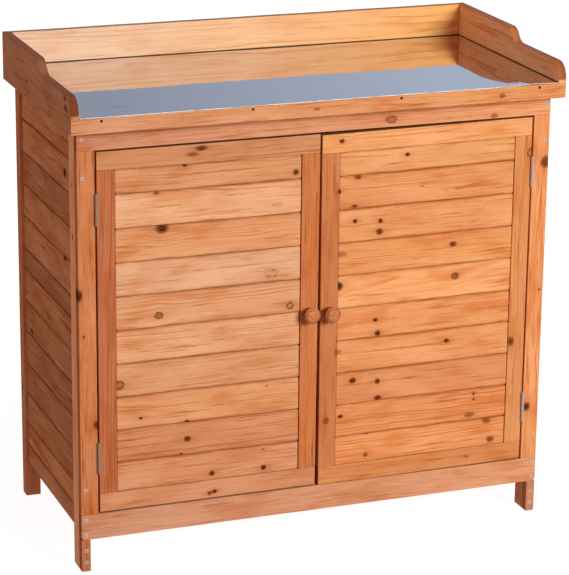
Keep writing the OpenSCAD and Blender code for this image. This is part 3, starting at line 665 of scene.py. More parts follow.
# ---------------------------------------------------------------- floor, shelf and worktop timber
p = Piece("wood_floor_boards")
pitch = (YLB - YFB) / 6
for i in range(6):
    lo, hi = (-454.2, YFB + i * pitch, 102.4), (454.2, YFB + (i + 1) * pitch, 114.4)
    box_board(p, lo, hi, "x", "+z", [c * RNG.uniform(0.9, 1.05) for c in C_INNER], chance_knots(lo, hi, (0, 1), 3, 6.5, 700 + i), kind=plank, seg=30)
p.make(WOOD, "bench", ["floor_boards"])
p = Piece("wood_floor_battens")
for lo, hi in (((-XL, YFB, 84.4), (-XL + 18, YLB, 102.4)), ((XL - 18, YFB, 84.4), (XL, YLB, 102.4)), ((-17, YFB, 84.4), (17, 199.2, 102.4))):
    box_board(p, lo, hi, "y", "-z", C_INNER)
p.make(WOOD, "bench", ["floor_battens"])
p = Piece("wood_shelf_boards")
for i in range(5):
    lo, hi = (-454.2, -140.3 + i * 64.3, 496), (454.2, -140.3 + (i + 1) * 64.3, 508)
    box_board(p, lo, hi, "x", "+z", [c * RNG.uniform(0.9, 1.05) for c in C_INNER], chance_knots(lo, hi, (0, 1), 3, 6.5, 800 + i), kind=plank, seg=30)
p.make(WOOD, "bench", ["shelf_boards"])
p = Piece("wood_shelf_battens")
for lo, hi in (((-XL, YLF, 478), (-XL + 18, YLB, 496)), ((XL - 18, YLF, 478), (XL, YLB, 496)), ((-17, -140.3, 478), (17, 181.2, 496))):
    box_board(p, lo, hi, "y", "-z", C_INNER)
p.make(WOOD, "bench", ["shelf_battens"])
p = Piece("wood_worktop_planks")
pitch = (YI + 222) / 7
for i in range(7):
    y1 = -222 + (i + 1) * pitch
    lo, hi = (-471.4, -222 + i * pitch, 875.2), (471.4, min(y1, 220.6), 887.2)
    box_board(p, lo, hi, "x", "-z", [c * RNG.uniform(0.9, 1.05) for c in C_INNER], chance_knots(lo, hi, (0, 1), 3, 6.5, 900 + i), kind=plank, seg=30)
p.make(WOOD, "bench", ["worktop_planks"])
p = Piece("wood_worktop_battens")
for x in (-457, -150, 150, 457):
    box_board(p, (x - 17, -222, ZCAB), (x + 17, YI, 875.2), "y", "-z", C_INNER)
p.make(WOOD, "bench", ["worktop_battens"])


# Front edge strip, with its four nail holes
NAIL_X = (-433, -145, 149, 434)
STRIP = dict(ring=4.4, pith=(26, 22), seed=0.371, slope=0.004, contrast=1.3)


def strip_with_holes():
    """The edge strip: a rounded bar whose front face is open at four round nail holes, each with a wall and a bottom."""
    p = Piece("wood_front_edge_strip")
    x0, x1, z0, z1, T, r, R = -490.0, 490.0, ZCAB, ZSH, 18.0, 0.9, 1.6
    zc = (z0 + z1) / 2
    base = []
    for cx, cz, a0 in ((x1 - R, z0 + R, -90), (x1 - R, z1 - R, 0), (x0 + R, z1 - R, 90), (x0 + R, z0 + R, 180)):
        base += arc_pts(cx, cz, R, a0, a0 + 90, 3)
    rings, n = [], len(base)
    for w, i in ((0, r), (0.29 * r, 0.29 * r), (r, 0), (T - r, 0), (T - 0.29 * r, 0.29 * r), (T, r)):
        rings.append((w, inset_outline(base, i)))
    co = [(x, YFRONT + w, z) for w, ring in rings for x, z in ring]
    faces = []
    for k in range(len(rings) - 1):
        for i in range(n):
            j = (i + 1) % n
            faces.append((k * n + i, k * n + j, (k + 1) * n + j, (k + 1) * n + i))
    faces += [tuple((len(rings) - 1) * n + t for t in tri) for tri in tessellate_polygon([[Vector((x, z, 0)) for x, z in rings[-1][1]]])]
    seg, loops, index = 18, [[Vector((x, z, 0)) for x, z in rings[0][1]]], list(range(n))
    cap = [0.0] * len(co)
    for x in NAIL_X:
        rim = arc_pts(x, 881.2, 2.5, 0, 360, seg)[:-1]
        first = len(co)
        for grow, deep in ((1.16, 0.0), (1.0, 0.25), (0.92, 2.4)):
            co += [(x + (a - x) * grow, YFRONT + deep, 881.2 + (b - 881.2) * grow) for a, b in rim]
        cap += [0.0] * seg + [1.0] * (2 * seg)
        index += list(range(first, first + seg))
        loops.append([Vector((co[first + i][0], co[first + i][2], 0)) for i in range(seg)])
        for k in (0, seg):
            for i in range(seg):
                j = (i + 1) % seg
                faces.append((first + k + i, first + k + seg + i, first + k + seg + j, first + k + j))
        faces.append(tuple(first + 2 * seg + i for i in range(seg)))
    for tri in tessellate_polygon(loops):
        faces.append(tuple(index[t] for t in tri))
    _, sd, t, lean = board_params(lin(208, 142, 103), **STRIP)
    f = np.clip((np.array([c[0] for c in co]) - x0) / (x1 - x0), 0, 1)[:, None]
    tint = np.hstack([np.array(t[:3]) * (1 - f) + np.array(lin(222, 145, 89)) * f, np.full((len(f), 1), t[3])])
    # Walls and bottoms of the nail holes are darkened: painted shade inside the holes.
    tint[np.array(cap) > 0, :3] *= (0.14, 0.09, 0.06)
    kn = [(x - x0, z - zc, a, d, g, e) for x, z, a, d, g, e in FRONT if z > ZCAB]
    p.add(co, faces, gr=[(c[0] - x0, c[2] - zc, c[1] - YFRONT) for c in co], fx=[(0.0, 0.0, lean)] * len(co), sd=sd, tint=tint, **knot_attrs(kn))
    p.make(WOOD, "bench", ["front_edge_strip"])


# ---------------------------------------------------------------- splash boards
def arc_pts(cx, cy, r, a0, a1, n):
    return [(cx + r * math.cos(math.radians(a0 + (a1 - a0) * i / n)), cy + r * math.sin(math.radians(a0 + (a1 - a0) * i / n))) for i in range(n + 1)]


def splash_outline():
    drop, run, ys, rc = RIM_T - RIM_L, 48.0, -5.0, 31.0
    r = (run * run + drop * drop) / (4 * drop)
    a = math.degrees(math.asin(run / 2 / r))
    pts = [(-222.0, ZCAB), (YBACK, ZCAB), (YBACK, 889.3), (YBACK, 890.0), (YBACK, RIM_T)]
    pts += arc_pts(ys, RIM_T - r, r, 90, 90 + a, 14)
    pts += arc_pts(ys - run, RIM_L + r, r, 270 + a, 270, 14)[1:]
    pts += arc_pts(YFRONT + rc, RIM_L - rc, rc, 90, 180, 16)
    pts += [(YFRONT, 890.0), (YFRONT, 889.3), (YFRONT, ZSH), (-222.0, ZSH)]
    return pts


def inset_outline(pts, d):
    out, n = [], len(pts)
    for i in range(n):
        a, b, c = (Vector(pts[k % n]) for k in (i - 1, i, i + 1))
        e1, e2 = (b - a).normalized(), (c - b).normalized()
        n1, n2 = Vector((-e1.y, e1.x)), Vector((-e2.y, e2.x))
        m = (n1 + n2)
        m = m / max(m.dot(n1), 0.35) if m.length > 1e-6 else n1
        out.append((b.x + m.x * d, b.y + m.y * d))
    return out


strip_with_holes()


def splash(side, x_out, x_in, tint, knots, inner=None, contrast=1.3, end=(0.43, 0.32, 0.25)):
    p = Piece("wood_splash_board_" + side)
    base, r, T = splash_outline(), 1.5, abs(x_out - x_in)
    sgn = 1 if x_in > x_out else -1
    rings, e = [], []
    for w, i in ((0, r), (0.25 * r, 0.34 * r), (r, 0), (T - r, 0), (T - 0.25 * r, 0.34 * r), (T, r)):
        rings.append([(w, q) for q in inset_outline(base, i * 0.98)])
        e.append(1.0 if i == 0.34 * r else 0.0)
    zc = (ZCAB + RIM_T) / 2
    local, co, fx = [], [], []
    for ring, ee in zip(rings, e):
        for w, (y, z) in ring:
            local.append((y - YFRONT, z - zc, w))
            co.append((x_out + sgn * w, y, z))
            fx.append((ee, 0.85 if (w in (r, T - r) or ee) and z > ZSH + 6 else 0.0, 0.004))
    n, faces = len(base), []
    for k in range(len(rings) - 1):
        for i in range(n):
            j = (i + 1) % n
            faces.append((k * n + i, k * n + j, (k + 1) * n + j, (k + 1) * n + i))
    b1, b2 = 2, n - 4
    parts = ([0, 1, b1, b2 + 1, b2 + 2, b2 + 3], [b1, b1 + 1, b2, b2 + 1], list(range(b1 + 1, b2 + 1)))
    for k, ring in ((0, rings[0]), (len(rings) - 1, rings[-1])):
        for part in parts:
            for tri in tessellate_polygon([[Vector((ring[i][1][0], ring[i][1][1], 0)) for i in part]]):
                faces.append(tuple(k * n + part[t] for t in tri))
    _, sd, t, _ = board_params(tint, 3.8, (22, 20), contrast=contrast)
    kn = [(y - YFRONT, z - zc, r_, d_, g_, e_) for y, z, r_, d_, g_, e_ in knots if z > ZCAB]
    # The inner face takes the colour given as inner, and its strip just above the sheet is darkened nearly to black:
    # painted shade in the joint with the sheet.
    inner = list(inner or t[:3])
    t = [list(t) if q[2] < 0.5 * T else [c * (0.13 if q[2] > T - 0.01 and q[1] + zc < 889.8 else 1.0) for c in inner] + [t[3]] for q in local]
    t = np.array(t)
    # The rim above the sheet and its arrises are darkened: end grain towards the front end, painted shade along the
    # rest of the top edge.
    for i, (q, c) in enumerate(zip(fx, co)):
        if q[1] > 0:
            front = min(max((-190 - c[1]) / 40.0, 0.0), 1.0)
            k = np.array([0.66, 0.62, 0.66]) * (1 - front) + np.array(end) * front
            t[i, :3] *= k if not q[0] else 0.35 + 0.65 * k
    p.add(co, faces, gr=local, fx=fx, sd=sd, tint=t, **knot_attrs(kn))
    return p.make(WOOD, "bench", ["splash_board_" + side])


splash("left", -490, -474, tuple(c * k for c, k in zip(lin(220, 148, 108), (0.90, 0.97, 1.0))), LEFT)
# The right board's inner face gets a brighter orange tint: painted light from the bounce off the back board and sheet.
splash("right", 490, 474, lin(230, 148, 100), [], contrast=0.8, inner=(1.0, 0.46, 0.198), end=(0.52, 0.45, 0.40))
p = Piece("wood_splash_board_back")
box_board(p, (-473.7, YI, ZCAB), (473.7, YBACK, RIM_T), "x", "-y", tuple(c * k for c, k in zip(lin(236, 180, 143), (1.08, 1.24, 1.36))), [], r=1.4, seg=30, wobble=0.2, pith=(6, 30), ring=6.0, slope=0.012, contrast=0.55, fade=tuple(c * k for c, k in zip(lin(240, 160, 92), (1.08, 1.19, 1.18))), lines=(888.2 - 905.0, 889.3 - 905.0, 890.0 - 905.0))
# The show face just above the sheet is darkened: painted shade in the joint with the sheet.
paint_shade(p, lambda g: (g[:, 2] < 0.1) & (g[:, 1] < 889.4 - 905.0), 0.13)
# The top edge is darkened: painted shade on the top of the board.
paint_shade(p, lambda g: (g[:, 1] > 46.0) & (g[:, 2] > 0.3), 0.45)
p.make(WOOD, "bench", ["splash_board_back"])

# ---------------------------------------------------------------- doors
EDGE = {-1: 2.3, 1: 4.3}
SAG = {-1: 0.0, 1: 2.9}
LEAN = 1.5
JOINTS = [36.0] + [94.2 + 65.3 * i for i in range(9)] + [DOORH - 36.0]


def door_board(piece, side, u0, u1, v0, v1, y0, y1, grain, tint, free=False, kind=lath, tilt=0.0, **kw):
    """A board of a door, laid out from its hinge edge; grain is h or v."""
    w_door = XH - EDGE[side]
    L, W = (u1 - u0, v1 - v0) if grain == "h" else (v1 - v0, u1 - u0)

    def world(U, V):
        U2 = U + (LEAN * V / DOORH * np.clip((U - u0) / (u1 - u0), 0, 1) if free else 0)
        return side * (XH - U2), ZDOOR + V - SAG[side] * U / w_door

    def place(u, v, w):
        U, V = (u0 + u, (v0 + v1) / 2 + v) if grain == "h" else ((u0 + u1) / 2 + v, v0 + u)
        x, z = world(U, V)
        return np.stack([x, YF + y0 + w + tilt * v / W, z], 1)

    local = []
    for x, z, r, d, g, e in FRONT:
        U = XH - side * x
        V = z - ZDOOR + SAG[side] * U / w_door
        if u0 - 2 <= U <= u1 + 2 and v0 - 1 <= V <= v1 + 1 and side * x > -6:
            a, b = (U - u0, V - (v0 + v1) / 2) if grain == "h" else (V - v0, U - (u0 + u1) / 2)
            local.append((a, b, r, d, g, e))
    kind(piece, place, L, W, y1 - y0, tint, knots=local, **kw)


TONES = {
    -1: [(213, 140, 97), (214, 140, 96), (209, 134, 91), (220, 148, 100), (217, 150, 106), (224, 158, 114), (221, 155, 110), (227, 164, 122), (223, 152, 103), (229, 165, 121), (219, 148, 101)],
    1: [(228, 146, 91), (229, 147, 92), (223, 142, 89), (223, 142, 90), (232, 152, 96), (232, 152, 97), (241, 164, 107), (232, 152, 94), (233, 154, 97), (230, 150, 95), (233, 158, 101)],
}
GAIN = {-1: [1, 1, 1, 1, 1, 1, 1, 0.95, 0.97, 1, 0.93], 1: [1.02, 1.02, 1.03, 0.95, 0.95, 0.97, 0.98, 0.95, 0.92, 0.93, 0.93]}
for side, nm in ((-1, "left"), (1, "right")):
    body = nm + "_door"
    w = XH - EDGE[side]
    t_top, t_bot = ((204, 136, 92), (209, 136, 95)) if side < 0 else ((232, 156, 98), (212, 133, 80))
    t_h, t_m = ((190, 110, 71), (203, 118, 69)) if side < 0 else ((217, 139, 85), (200, 121, 75))
    p = Piece("wood_door_%s_top_rail" % nm)
    door_board(p, side, 0, w, DOORH - 36, DOORH, 0, 18, "h", lin(*t_top), free=True, seg=10, wobble=0.1)
    # The top face of the top rail is darkened: painted shade in the gap above the door.
    paint_shade(p, lambda g: (g[:, 1] > 17.7) & (g[:, 2] > 1.2), 0.35)
    p.make(WOOD, body, ["door_%s_top_rail" % nm])
    p = Piece("wood_door_%s_bottom_rail" % nm)
    door_board(p, side, 0, w, 0, 36, 0, 18, "h", lin(*t_bot), free=True, seg=10, wobble=0.1)
    # The bottom face of the bottom rail and its lower arris are darkened: painted shade in the gap below the door.
    paint_shade(p, lambda g: (g[:, 1] < -17.2) & (g[:, 2] > 0.35), 0.30)
    p.make(WOOD, body, ["door_%s_bottom_rail" % nm])
    p = Piece("wood_door_%s_hinge_stile" % nm)
    door_board(p, side, 0, 34.6, 36, DOORH - 36, 0, 18, "v", lin(*t_h), seg=10, wobble=0.1, pith=(30, 20))
    p.make(WOOD, body, ["door_%s_hinge_stile" % nm])
    p = Piece("wood_door_%s_meeting_stile" % nm)
    door_board(p, side, w - 34.6, w, 36, DOORH - 36, 0, 18, "v", lin(*t_m), free=True, seg=10, wobble=0.1, pith=(-34, 24))
    p.make(WOOD, body, ["door_%s_meeting_stile" % nm])
    p = Piece("wood_door_%s_planks" % nm)
    for i in range(10):
        back = 1.35 + RNG.uniform(-0.15, 0.45)
        door_board(p, side, 34.6 + (RNG.uniform(0.2, 1.7) if side > 0 else 0.4), w - 34.6 - (1.2 if side < 0 else 0.4), JOINTS[i], JOINTS[i + 1], back, back + 12, "h", [c * GAIN[side][i + 1 if i else 0] for c in lin(*TONES[side][i + 1 if i else 0])], kind=plank, tilt=RNG.uniform(0.1, 1.0), gap=0.5, stain=0.72, contrast=1.15)
    p.make(WOOD, body, ["door_%s_planks" % nm])


# ---------------------------------------------------------------- knobs
def knob_profile():
    raw = [(0, 0), (10, 0), (10.6, 0.8), (10.2, 2.0), (8.8, 3.8), (8.1, 6.0), (8.5, 8.2), (10.6, 10.6), (13.5, 12.6), (15.3, 14.8), (16, 17.6), (15.9, 19.6), (15.0, 22.0),
           (13.4, 23.7), (12.6, 24.2), (12.3, 24.1), (11.9, 24.5), (9.0, 25.7), (5.0, 26.6), (1.5, 26.95), (0, 27)]
    return raw


def smooth_profile(raw, n=4):
    """Catmull-Rom through the points of a profile."""
    out = []
    for i in range(len(raw) - 1):
        p0, p1, p2, p3 = (Vector(raw[max(0, min(len(raw) - 1, k))]) for k in (i - 1, i, i + 1, i + 2))
        for k in range(n):
            t = k / n
            q = 0.5 * ((2 * p1) + (p2 - p0) * t + (2 * p0 - 5 * p1 + 4 * p2 - p3) * t * t + (3 * p1 - p0 - 3 * p2 + p3) * t ** 3)
            out.append((max(q.x, 0.0), q.y))
    out.append(raw[-1])
    return out


for side, nm in ((-1, "left"), (1, "right")):
    w = XH - EDGE[side]
    kx, kz = side * (XH - w + 17.3), 469.5 - SAG[side] * (w - 17.3) / w
    prof = smooth_profile(knob_profile(), 3)
    seg = 72
    p = Piece("wood_door_%s_knob" % nm)
    co, faces, gr = [], [], []
    idx = []
    for r, h in prof:
        if r < 1e-4:
            idx.append([len(co)])
            co.append((kx, YF - h, kz))
        else:
            idx.append(list(range(len(co), len(co) + seg)))
            for i in range(seg):
                a = 2 * math.pi * i / seg
                co.append((kx + r * math.cos(a), YF - h, kz + r * math.sin(a)))
    for a, b in zip(idx[:-1], idx[1:]):
        for i in range(seg):
            j = (i + 1) % seg
            if len(a) == 1 and len(b) == 1:
                continue
            if len(a) == 1:
                faces.append((a[0], b[j], b[i]))
            elif len(b) == 1:
                faces.append((a[i], a[j], b[0]))
            else:
                faces.append((a[i], a[j], b[j], b[i]))
    gr = [((c[1] - YF) * 1.0, c[0] - kx, c[2] - kz) for c in co]
    _, sd, t, _ = board_params(lin(202, 126, 82), 2.6, (30, 26), contrast=1.6)
    depth = np.array([YF - c[1] for c in co])
    # Colour darkened and reddened towards the neck at the door face and in the groove near the front: painted shade.
    k = np.interp(depth, [0, 6, 12, 16, 19, 23.4, 24.0, 24.3, 24.8, 27], [0.45, 0.5, 0.55, 0.7, 0.95, 1.0, 0.62, 0.66, 1.0, 1.02])
    t = np.hstack([np.array(t[:3])[None] * k[:, None] ** np.array([[1.0, 1.25, 1.5]]), np.full((len(k), 1), t[3])])
    p.add(co, faces, gr=gr, fx=np.zeros((len(co), 3)), sd=sd, tint=t, **knot_attrs([]))
    p.make(WOOD, nm + "_door", ["door_%s_knob" % nm], weighted=False)


# ---------------------------------------------------------------- metals and plastic
def zinc_material(name, base, rough, dirt=0.5, scale=1.0, metallic=0.5):
    g = Nodes(name)
    tc = g.t.nodes.new("ShaderNodeTexCoord").outputs["Object"]
    fine = g.noise(g.v("MULTIPLY", tc, (900 * scale, 900 * scale, 160 * scale)), 1.0, 3.0, 0.6)
    spots = g.noise(g.v("MULTIPLY", tc, (260, 260, 260)), 1.0, 3.0, 0.6)
    c2 = [c * 0.62 for c in base]
    col = g.mix(g.m("MULTIPLY", g.step(fine, 0.4, 0.7), 0.45), list(base) + [1], c2 + [1])
    col = g.mix(g.m("MULTIPLY", g.step(spots, 0.56, 0.74), dirt), col, (0.22, 0.17, 0.13, 1))
    g.put(g.b.inputs["Base Color"], col)
    g.b.inputs["Metallic"].default_value = metallic
    g.put(g.b.inputs["Roughness"], g.m("MULTIPLY_ADD", fine, 0.22, rough - 0.1))
    g.bump(fine, 0.25, 0.0001)
    return g.mat


ZINC = zinc_material("zinc_plate", (0.82, 0.60, 0.53), 0.48, 0.6)
# A darker copy of the zinc for the left hinges: painted shade, with more dirt spots.
ZINC_WORN_SHADED = zinc_material("zinc_worn_shaded", (0.50, 0.33, 0.27), 0.52, 1.0)
# Near-black nail heads: painted shade at the bottom of the nail holes.
NAIL = zinc_material("nail_iron", (0.10, 0.055, 0.035), 0.6, 0.4, 1.0, 0.7)
SCREW = zinc_material("screw_zinc", (0.90, 0.76, 0.70), 0.36, 0.5, 2.0)


def plastic_material():
    g = Nodes("catch_plastic")
    tc = g.t.nodes.new("ShaderNodeTexCoord").outputs["Object"]
    n = g.noise(g.v("MULTIPLY", tc, (700, 700, 700)), 1.0, 3.0, 0.55)
    low = g.noise(g.v("MULTIPLY", tc, (40, 40, 40)), 1.0, 2.0)
    # Near-black colour: painted shade in the gap above the doors, where the catches show.
    col = g.mix(g.m("MULTIPLY", low, 0.35), (0.055, 0.042, 0.034, 1), (0.085, 0.064, 0.050, 1))
    g.put(g.b.inputs["Base Color"], col)
    g.put(g.b.inputs["Roughness"], g.m("MULTIPLY_ADD", n, 0.2, 0.38))
    g.bump(n, 0.2, 0.0001)
    return g.mat


def sheet_material():
    """Bright galvanised sheet: faint rolling lines, a soft spangle, and thin smears."""
    g = Nodes("galvanised_sheet")
    tc = g.t.nodes.new("ShaderNodeTexCoord").outputs["Object"]
    roll = g.noise(g.v("MULTIPLY", tc, (6, 900, 1)), 1.0, 3.0, 0.6)
    smear = g.noise(g.v("MULTIPLY", tc, (4.0, 16.0, 1)), 1.0, 4.0, 0.6)
    vor = g.t.nodes.new("ShaderNodeTexVoronoi")
    g.put(vor.inputs["Vector"], g.v("MULTIPLY", tc, (110, 110, 1)))
    vor.inputs["Scale"].default_value = 1.0
    spangle = g.sep(vor.outputs["Color"])[0]
    col = g.mix(g.m("MULTIPLY", spangle, 0.10), (0.71, 0.66, 0.665, 1), (0.66, 0.63, 0.645, 1))
    col = g.mix(g.m("MULTIPLY", g.step(smear, 0.54, 0.72), 0.22), col, (0.62, 0.60, 0.61, 1))
    # two finger smudges near the left end
    sx_, sy_, _ = g.sep(tc)
    for cx, cy, wx, wy, k in ((-0.384, -0.171, 0.016, 0.0085, 0.60), (-0.366, -0.179, 0.012, 0.0050, 0.35), (-0.120, -0.168, 0.030, 0.006, 0.18)):
        dx = g.m("DIVIDE", g.m("SUBTRACT", sx_, cx), wx)
        dy = g.m("DIVIDE", g.m("SUBTRACT", sy_, cy), wy)
        qq = g.m("ADD", g.m("MULTIPLY", dx, dx), g.m("MULTIPLY", dy, dy))
        mark = g.m("MULTIPLY", g.m("POWER", 2.718, g.m("MULTIPLY", qq, -1.0)), g.step(smear, 0.30, 0.55, 0.5, 1.0))
        col = g.mix(g.m("MULTIPLY", mark, k), col, (0.33, 0.33, 0.40, 1))
    # The rolled front edge is painted near white and made mostly non-metallic: a painted highlight along the front
    # edge.
    hem_highlight = g.m("MULTIPLY", g.step(g.sep(tc)[1], -0.2388, -0.2391), g.step(g.noise(g.v("MULTIPLY", tc, (26, 1, 1)), 1.0, 3.0, 0.6), 0.34, 0.52, 0.35, 1.0))
    col = g.mix(hem_highlight, col, (0.96, 0.97, 1.0, 1))
    g.put(g.b.inputs["Base Color"], col)
    g.put(g.b.inputs["Metallic"], g.m("MULTIPLY_ADD", hem_highlight, -0.9, 1.0))
    ro = g.m("MULTIPLY_ADD", roll, 0.03, 0.02)
    ro = g.m("ADD", ro, g.m("MULTIPLY", g.step(smear, 0.54, 0.74), 0.035))
    g.put(g.b.inputs["Roughness"], ro)
    g.bump(roll, 0.02, 0.00004)
    return g.mat


SHEET = sheet_material()
PLASTIC = plastic_material()


def set_material(node, mat):
    o = frame["nodes"][node]
    o.data.materials.clear()
    o.data.materials.append(mat)


for n in ("hinge_frame_leaves_left", "hinge_frame_leaves_right", "hinge_pins_left", "hinge_pins_right", "hinge_frame_screws",
          "door_left_hinge_leaves", "door_right_hinge_leaves", "door_left_hinge_screws", "door_right_hinge_screws",
          "door_left_strike_plate", "door_right_strike_plate", "door_left_knob_screw", "door_right_knob_screw", "strip_nails"):
    set_material(n, NAIL if n == "strip_nails" else ZINC_WORN_SHADED if n in ("hinge_frame_leaves_left", "hinge_pins_left", "door_left_hinge_leaves") else ZINC)
set_material("magnetic_catches", PLASTIC)


# Galvanised sheet: a thin closed plate with slight waves, a small lift near the right end of its front edge
def sheet_height(x, y):
    r = np.zeros_like(x)
    for a, kx, ky, ph in ((0.16, 1.7, 1.0, 0.4), (0.09, 3.9, 1.9, 2.1), (0.035, 7.3, 3.0, 4.0)):
        r += a * np.sin(kx * x / 150 + ph) * np.cos(ky * y / 150 + ph * 1.7)
    c, d = math.cos(0.571), math.sin(0.571)
    u, v = (x - 418.6) * c + (y + 237.1) * d, (y + 237.1) * c - (x - 418.6) * d
    r += 1.6 * np.exp(-(u / 31.5) ** 2 - (v / 70.3) ** 2)
    return r


def make_sheet():
    xs = np.unique(np.concatenate([np.linspace(-472.6, 472.6, 190), np.linspace(366.3, 448.7, 50)]))
    ys = np.unique(np.concatenate([np.linspace(-238.6, 222.6, 96), [-238.2], np.linspace(-236.3, -148.7, 34)]))
    X, Y = np.meshgrid(xs, ys, indexing="ij")
    Z = 888.0 + sheet_height(X, Y)
    nx, ny = X.shape
    co = np.stack([X, Y, Z], 2).reshape(-1, 3)
    low = co.copy()
    low[:, 2] -= 0.8
    verts = np.concatenate([co, low])
    n = nx * ny
    faces = []
    for i in range(nx - 1):
        for j in range(ny - 1):
            a, b, c, d = i * ny + j, (i + 1) * ny + j, (i + 1) * ny + j + 1, i * ny + j + 1
            faces.append((a, b, c, d))
            faces.append((n + d, n + c, n + b, n + a))
    # rolled front edge: three extra rows round the front
    front = [i * ny for i in range(nx)]
    ring = []
    for dy, t in ((-0.5, -0.04), (-0.9, 0.10), (-1.15, 0.4), (-1.15, 0.75), (-0.8, 1.0)):
        row = []
        for i in front:
            row.append(len(verts) + len(row))
        z = co[front, 2] * (1 - t) + low[front, 2] * t
        new = np.stack([co[front, 0], co[front, 1] + dy, z], 1)
        verts = np.concatenate([verts, new])
        ring.append(row)
    rows = [front] + ring + [[n + i for i in front]]
    for a, b in zip(rows[:-1], rows[1:]):
        for k in range(nx - 1):
            faces.append((a[k], a[k + 1], b[k + 1], b[k]))
    for k, sgn in ((0, 1), (nx - 1, -1)):
        side = [r[k] for r in rows]
        faces.append(tuple(side))
        for j in range(ny - 1):
            i = k
            faces.append((i * ny + j, i * ny + j + 1, n + i * ny + j + 1, n + i * ny + j))
    for i in range(nx - 1):
        a, b = i * ny + ny - 1, (i + 1) * ny + ny - 1
        faces.append((a, b, n + b, n + a))
    me = bpy.data.meshes.new("sheet_worktop")
    me.from_pydata((verts * MM).tolist(), [], faces)
    me.validate()
    bm = bmesh.new()
    bm.from_mesh(me)
    bmesh.ops.recalc_face_normals(bm, faces=bm.faces)
    bm.to_mesh(me)
    bm.free()
    me.polygons.foreach_set("use_smooth", [True] * len(me.polygons))
    me.set_sharp_from_angle(angle=math.radians(60))
    me.materials.append(SHEET)
    o = bpy.data.objects.new("sheet_worktop", me)
    scene.collection.objects.link(o)
    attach(o, "bench")
    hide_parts("metal_sheet")
    return o


make_sheet()


# Cross-head wood screws
def screw_mesh(name, spots, r=3.8, length=40.0, outward=(0, -1, 0), turns=None):
    co, faces = [], []
    seg = 36
    for si, at in enumerate(spots):
        base = len(co)
        ang = (turns or {}).get(si, 20 * si)
        cross = []
        a_, b_ = r * 0.60, r * 0.15
        shape = [(a_, -b_), (a_, b_), (b_, b_), (b_, a_), (-b_, a_), (-b_, b_), (-a_, b_), (-a_, -b_), (-b_, -b_), (-b_, -a_), (b_, -a_), (b_, -b_)]
        ca, sa = math.cos(math.radians(ang)), math.sin(math.radians(ang))
        shape = [(x * ca - y * sa, x * sa + y * ca) for x, y in shape]
        outer = [(r * 0.84 * math.cos(2 * math.pi * i / seg), r * 0.84 * math.sin(2 * math.pi * i / seg)) for i in range(seg)]
        rings = [[(x, y, 0.62) for x, y in outer]]
        for rr, hh in ((0.95, 0.48), (1.0, 0.18), (1.0, -0.1), (0.52, -1.9), (0.52, -length)):
            rings.append([(r * rr * math.cos(2 * math.pi * i / seg), r * rr * math.sin(2 * math.pi * i / seg), hh) for i in range(seg)])
        hole_top = [(x, y, 0.62) for x, y in shape]
        hole_low = [(x * 0.82, y * 0.82, -0.9) for x, y in shape]
        pts = [q for ring in rings for q in ring] + hole_top + hole_low + [(0, 0, -length - 2.0)]
        ht = len(rings) * seg
        hl = ht + 12
        local = []
        for tri in tessellate_polygon([[Vector((x, y, 0)) for x, y in outer], [Vector((x, y, 0)) for x, y in shape]]):
            local.append(tuple(t if t < seg else ht + t - seg for t in tri))
        for k in range(len(rings) - 1):
            for i in range(seg):
                j = (i + 1) % seg
                local.append((k * seg + i, k * seg + j, (k + 1) * seg + j, (k + 1) * seg + i))
        for i in range(12):
            j = (i + 1) % 12
            local.append((ht + i, hl + i, hl + j, ht + j))
        for tri in tessellate_polygon([[Vector((x, y, 0)) for x, y, _ in hole_low]]):
            local.append(tuple(hl + t for t in tri))
        tip = hl + 12
        last = (len(rings) - 1) * seg
        for i in range(seg):
            local.append((last + i, last + (i + 1) % seg, tip))
        rot = Vector((0, 0, 1)).rotation_difference(Vector(outward)).to_matrix()
        for q in pts:
            v = rot @ Vector(q)
            co.append(((at[0] + v.x) * MM, (at[1] + v.y) * MM, (at[2] + v.z) * MM))
        faces += [tuple(base + i for i in f) for f in local]
    me = bpy.data.meshes.new(name)
    me.from_pydata(co, [], faces)
    bm = bmesh.new()
    bm.from_mesh(me)
    bmesh.ops.recalc_face_normals(bm, faces=bm.faces)
    bm.to_mesh(me)
    bm.free()
    me.polygons.foreach_set("use_smooth", [True] * len(me.polygons))
    me.set_sharp_from_angle(angle=math.radians(35))
    me.materials.append(SCREW)
    o = bpy.data.objects.new(name, me)
    scene.collection.objects.link(o)
    return o


spots = [(s * 463.3, YF, z) for s in (-1, 1) for z in (842, 769.4, 164.7, 103.6, 73.6, 41.8, 18)]
o = screw_mesh("steel_frame_screws", spots)
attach(o, "bench")
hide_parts("frame_screws")

# ---------------------------------------------------------------- stage, light and camera
me = bpy.data.meshes.new("floor")
me.from_pydata([(-30, -30, 0), (30, -30, 0), (30, 30, 0), (-30, 30, 0)], [], [(0, 1, 2, 3)])
floor = bpy.data.objects.new("floor", me)
scene.collection.objects.link(floor)
fm = bpy.data.materials.new("pale_floor")
fm.use_nodes = True
t = fm.node_tree
t.nodes.clear()
fo = t.nodes.new("ShaderNodeOutputMaterial")
add = t.nodes.new("ShaderNodeAddShader")
em = t.nodes.new("ShaderNodeEmission")
em.inputs[0].default_value = (1, 1, 1, 1)
em.inputs[1].default_value = 0.93
df = t.nodes.new("ShaderNodeBsdfDiffuse")
df.inputs[0].default_value = (0.20, 0.20, 0.20, 1)
t.links.new(em.outputs[0], add.inputs[0])
t.links.new(df.outputs[0], add.inputs[1])
t.links.new(add.outputs[0], fo.inputs[0])
me.materials.append(fm)
floor.location.z = -0.0005
floor.visible_diffuse = False
floor.visible_glossy = False

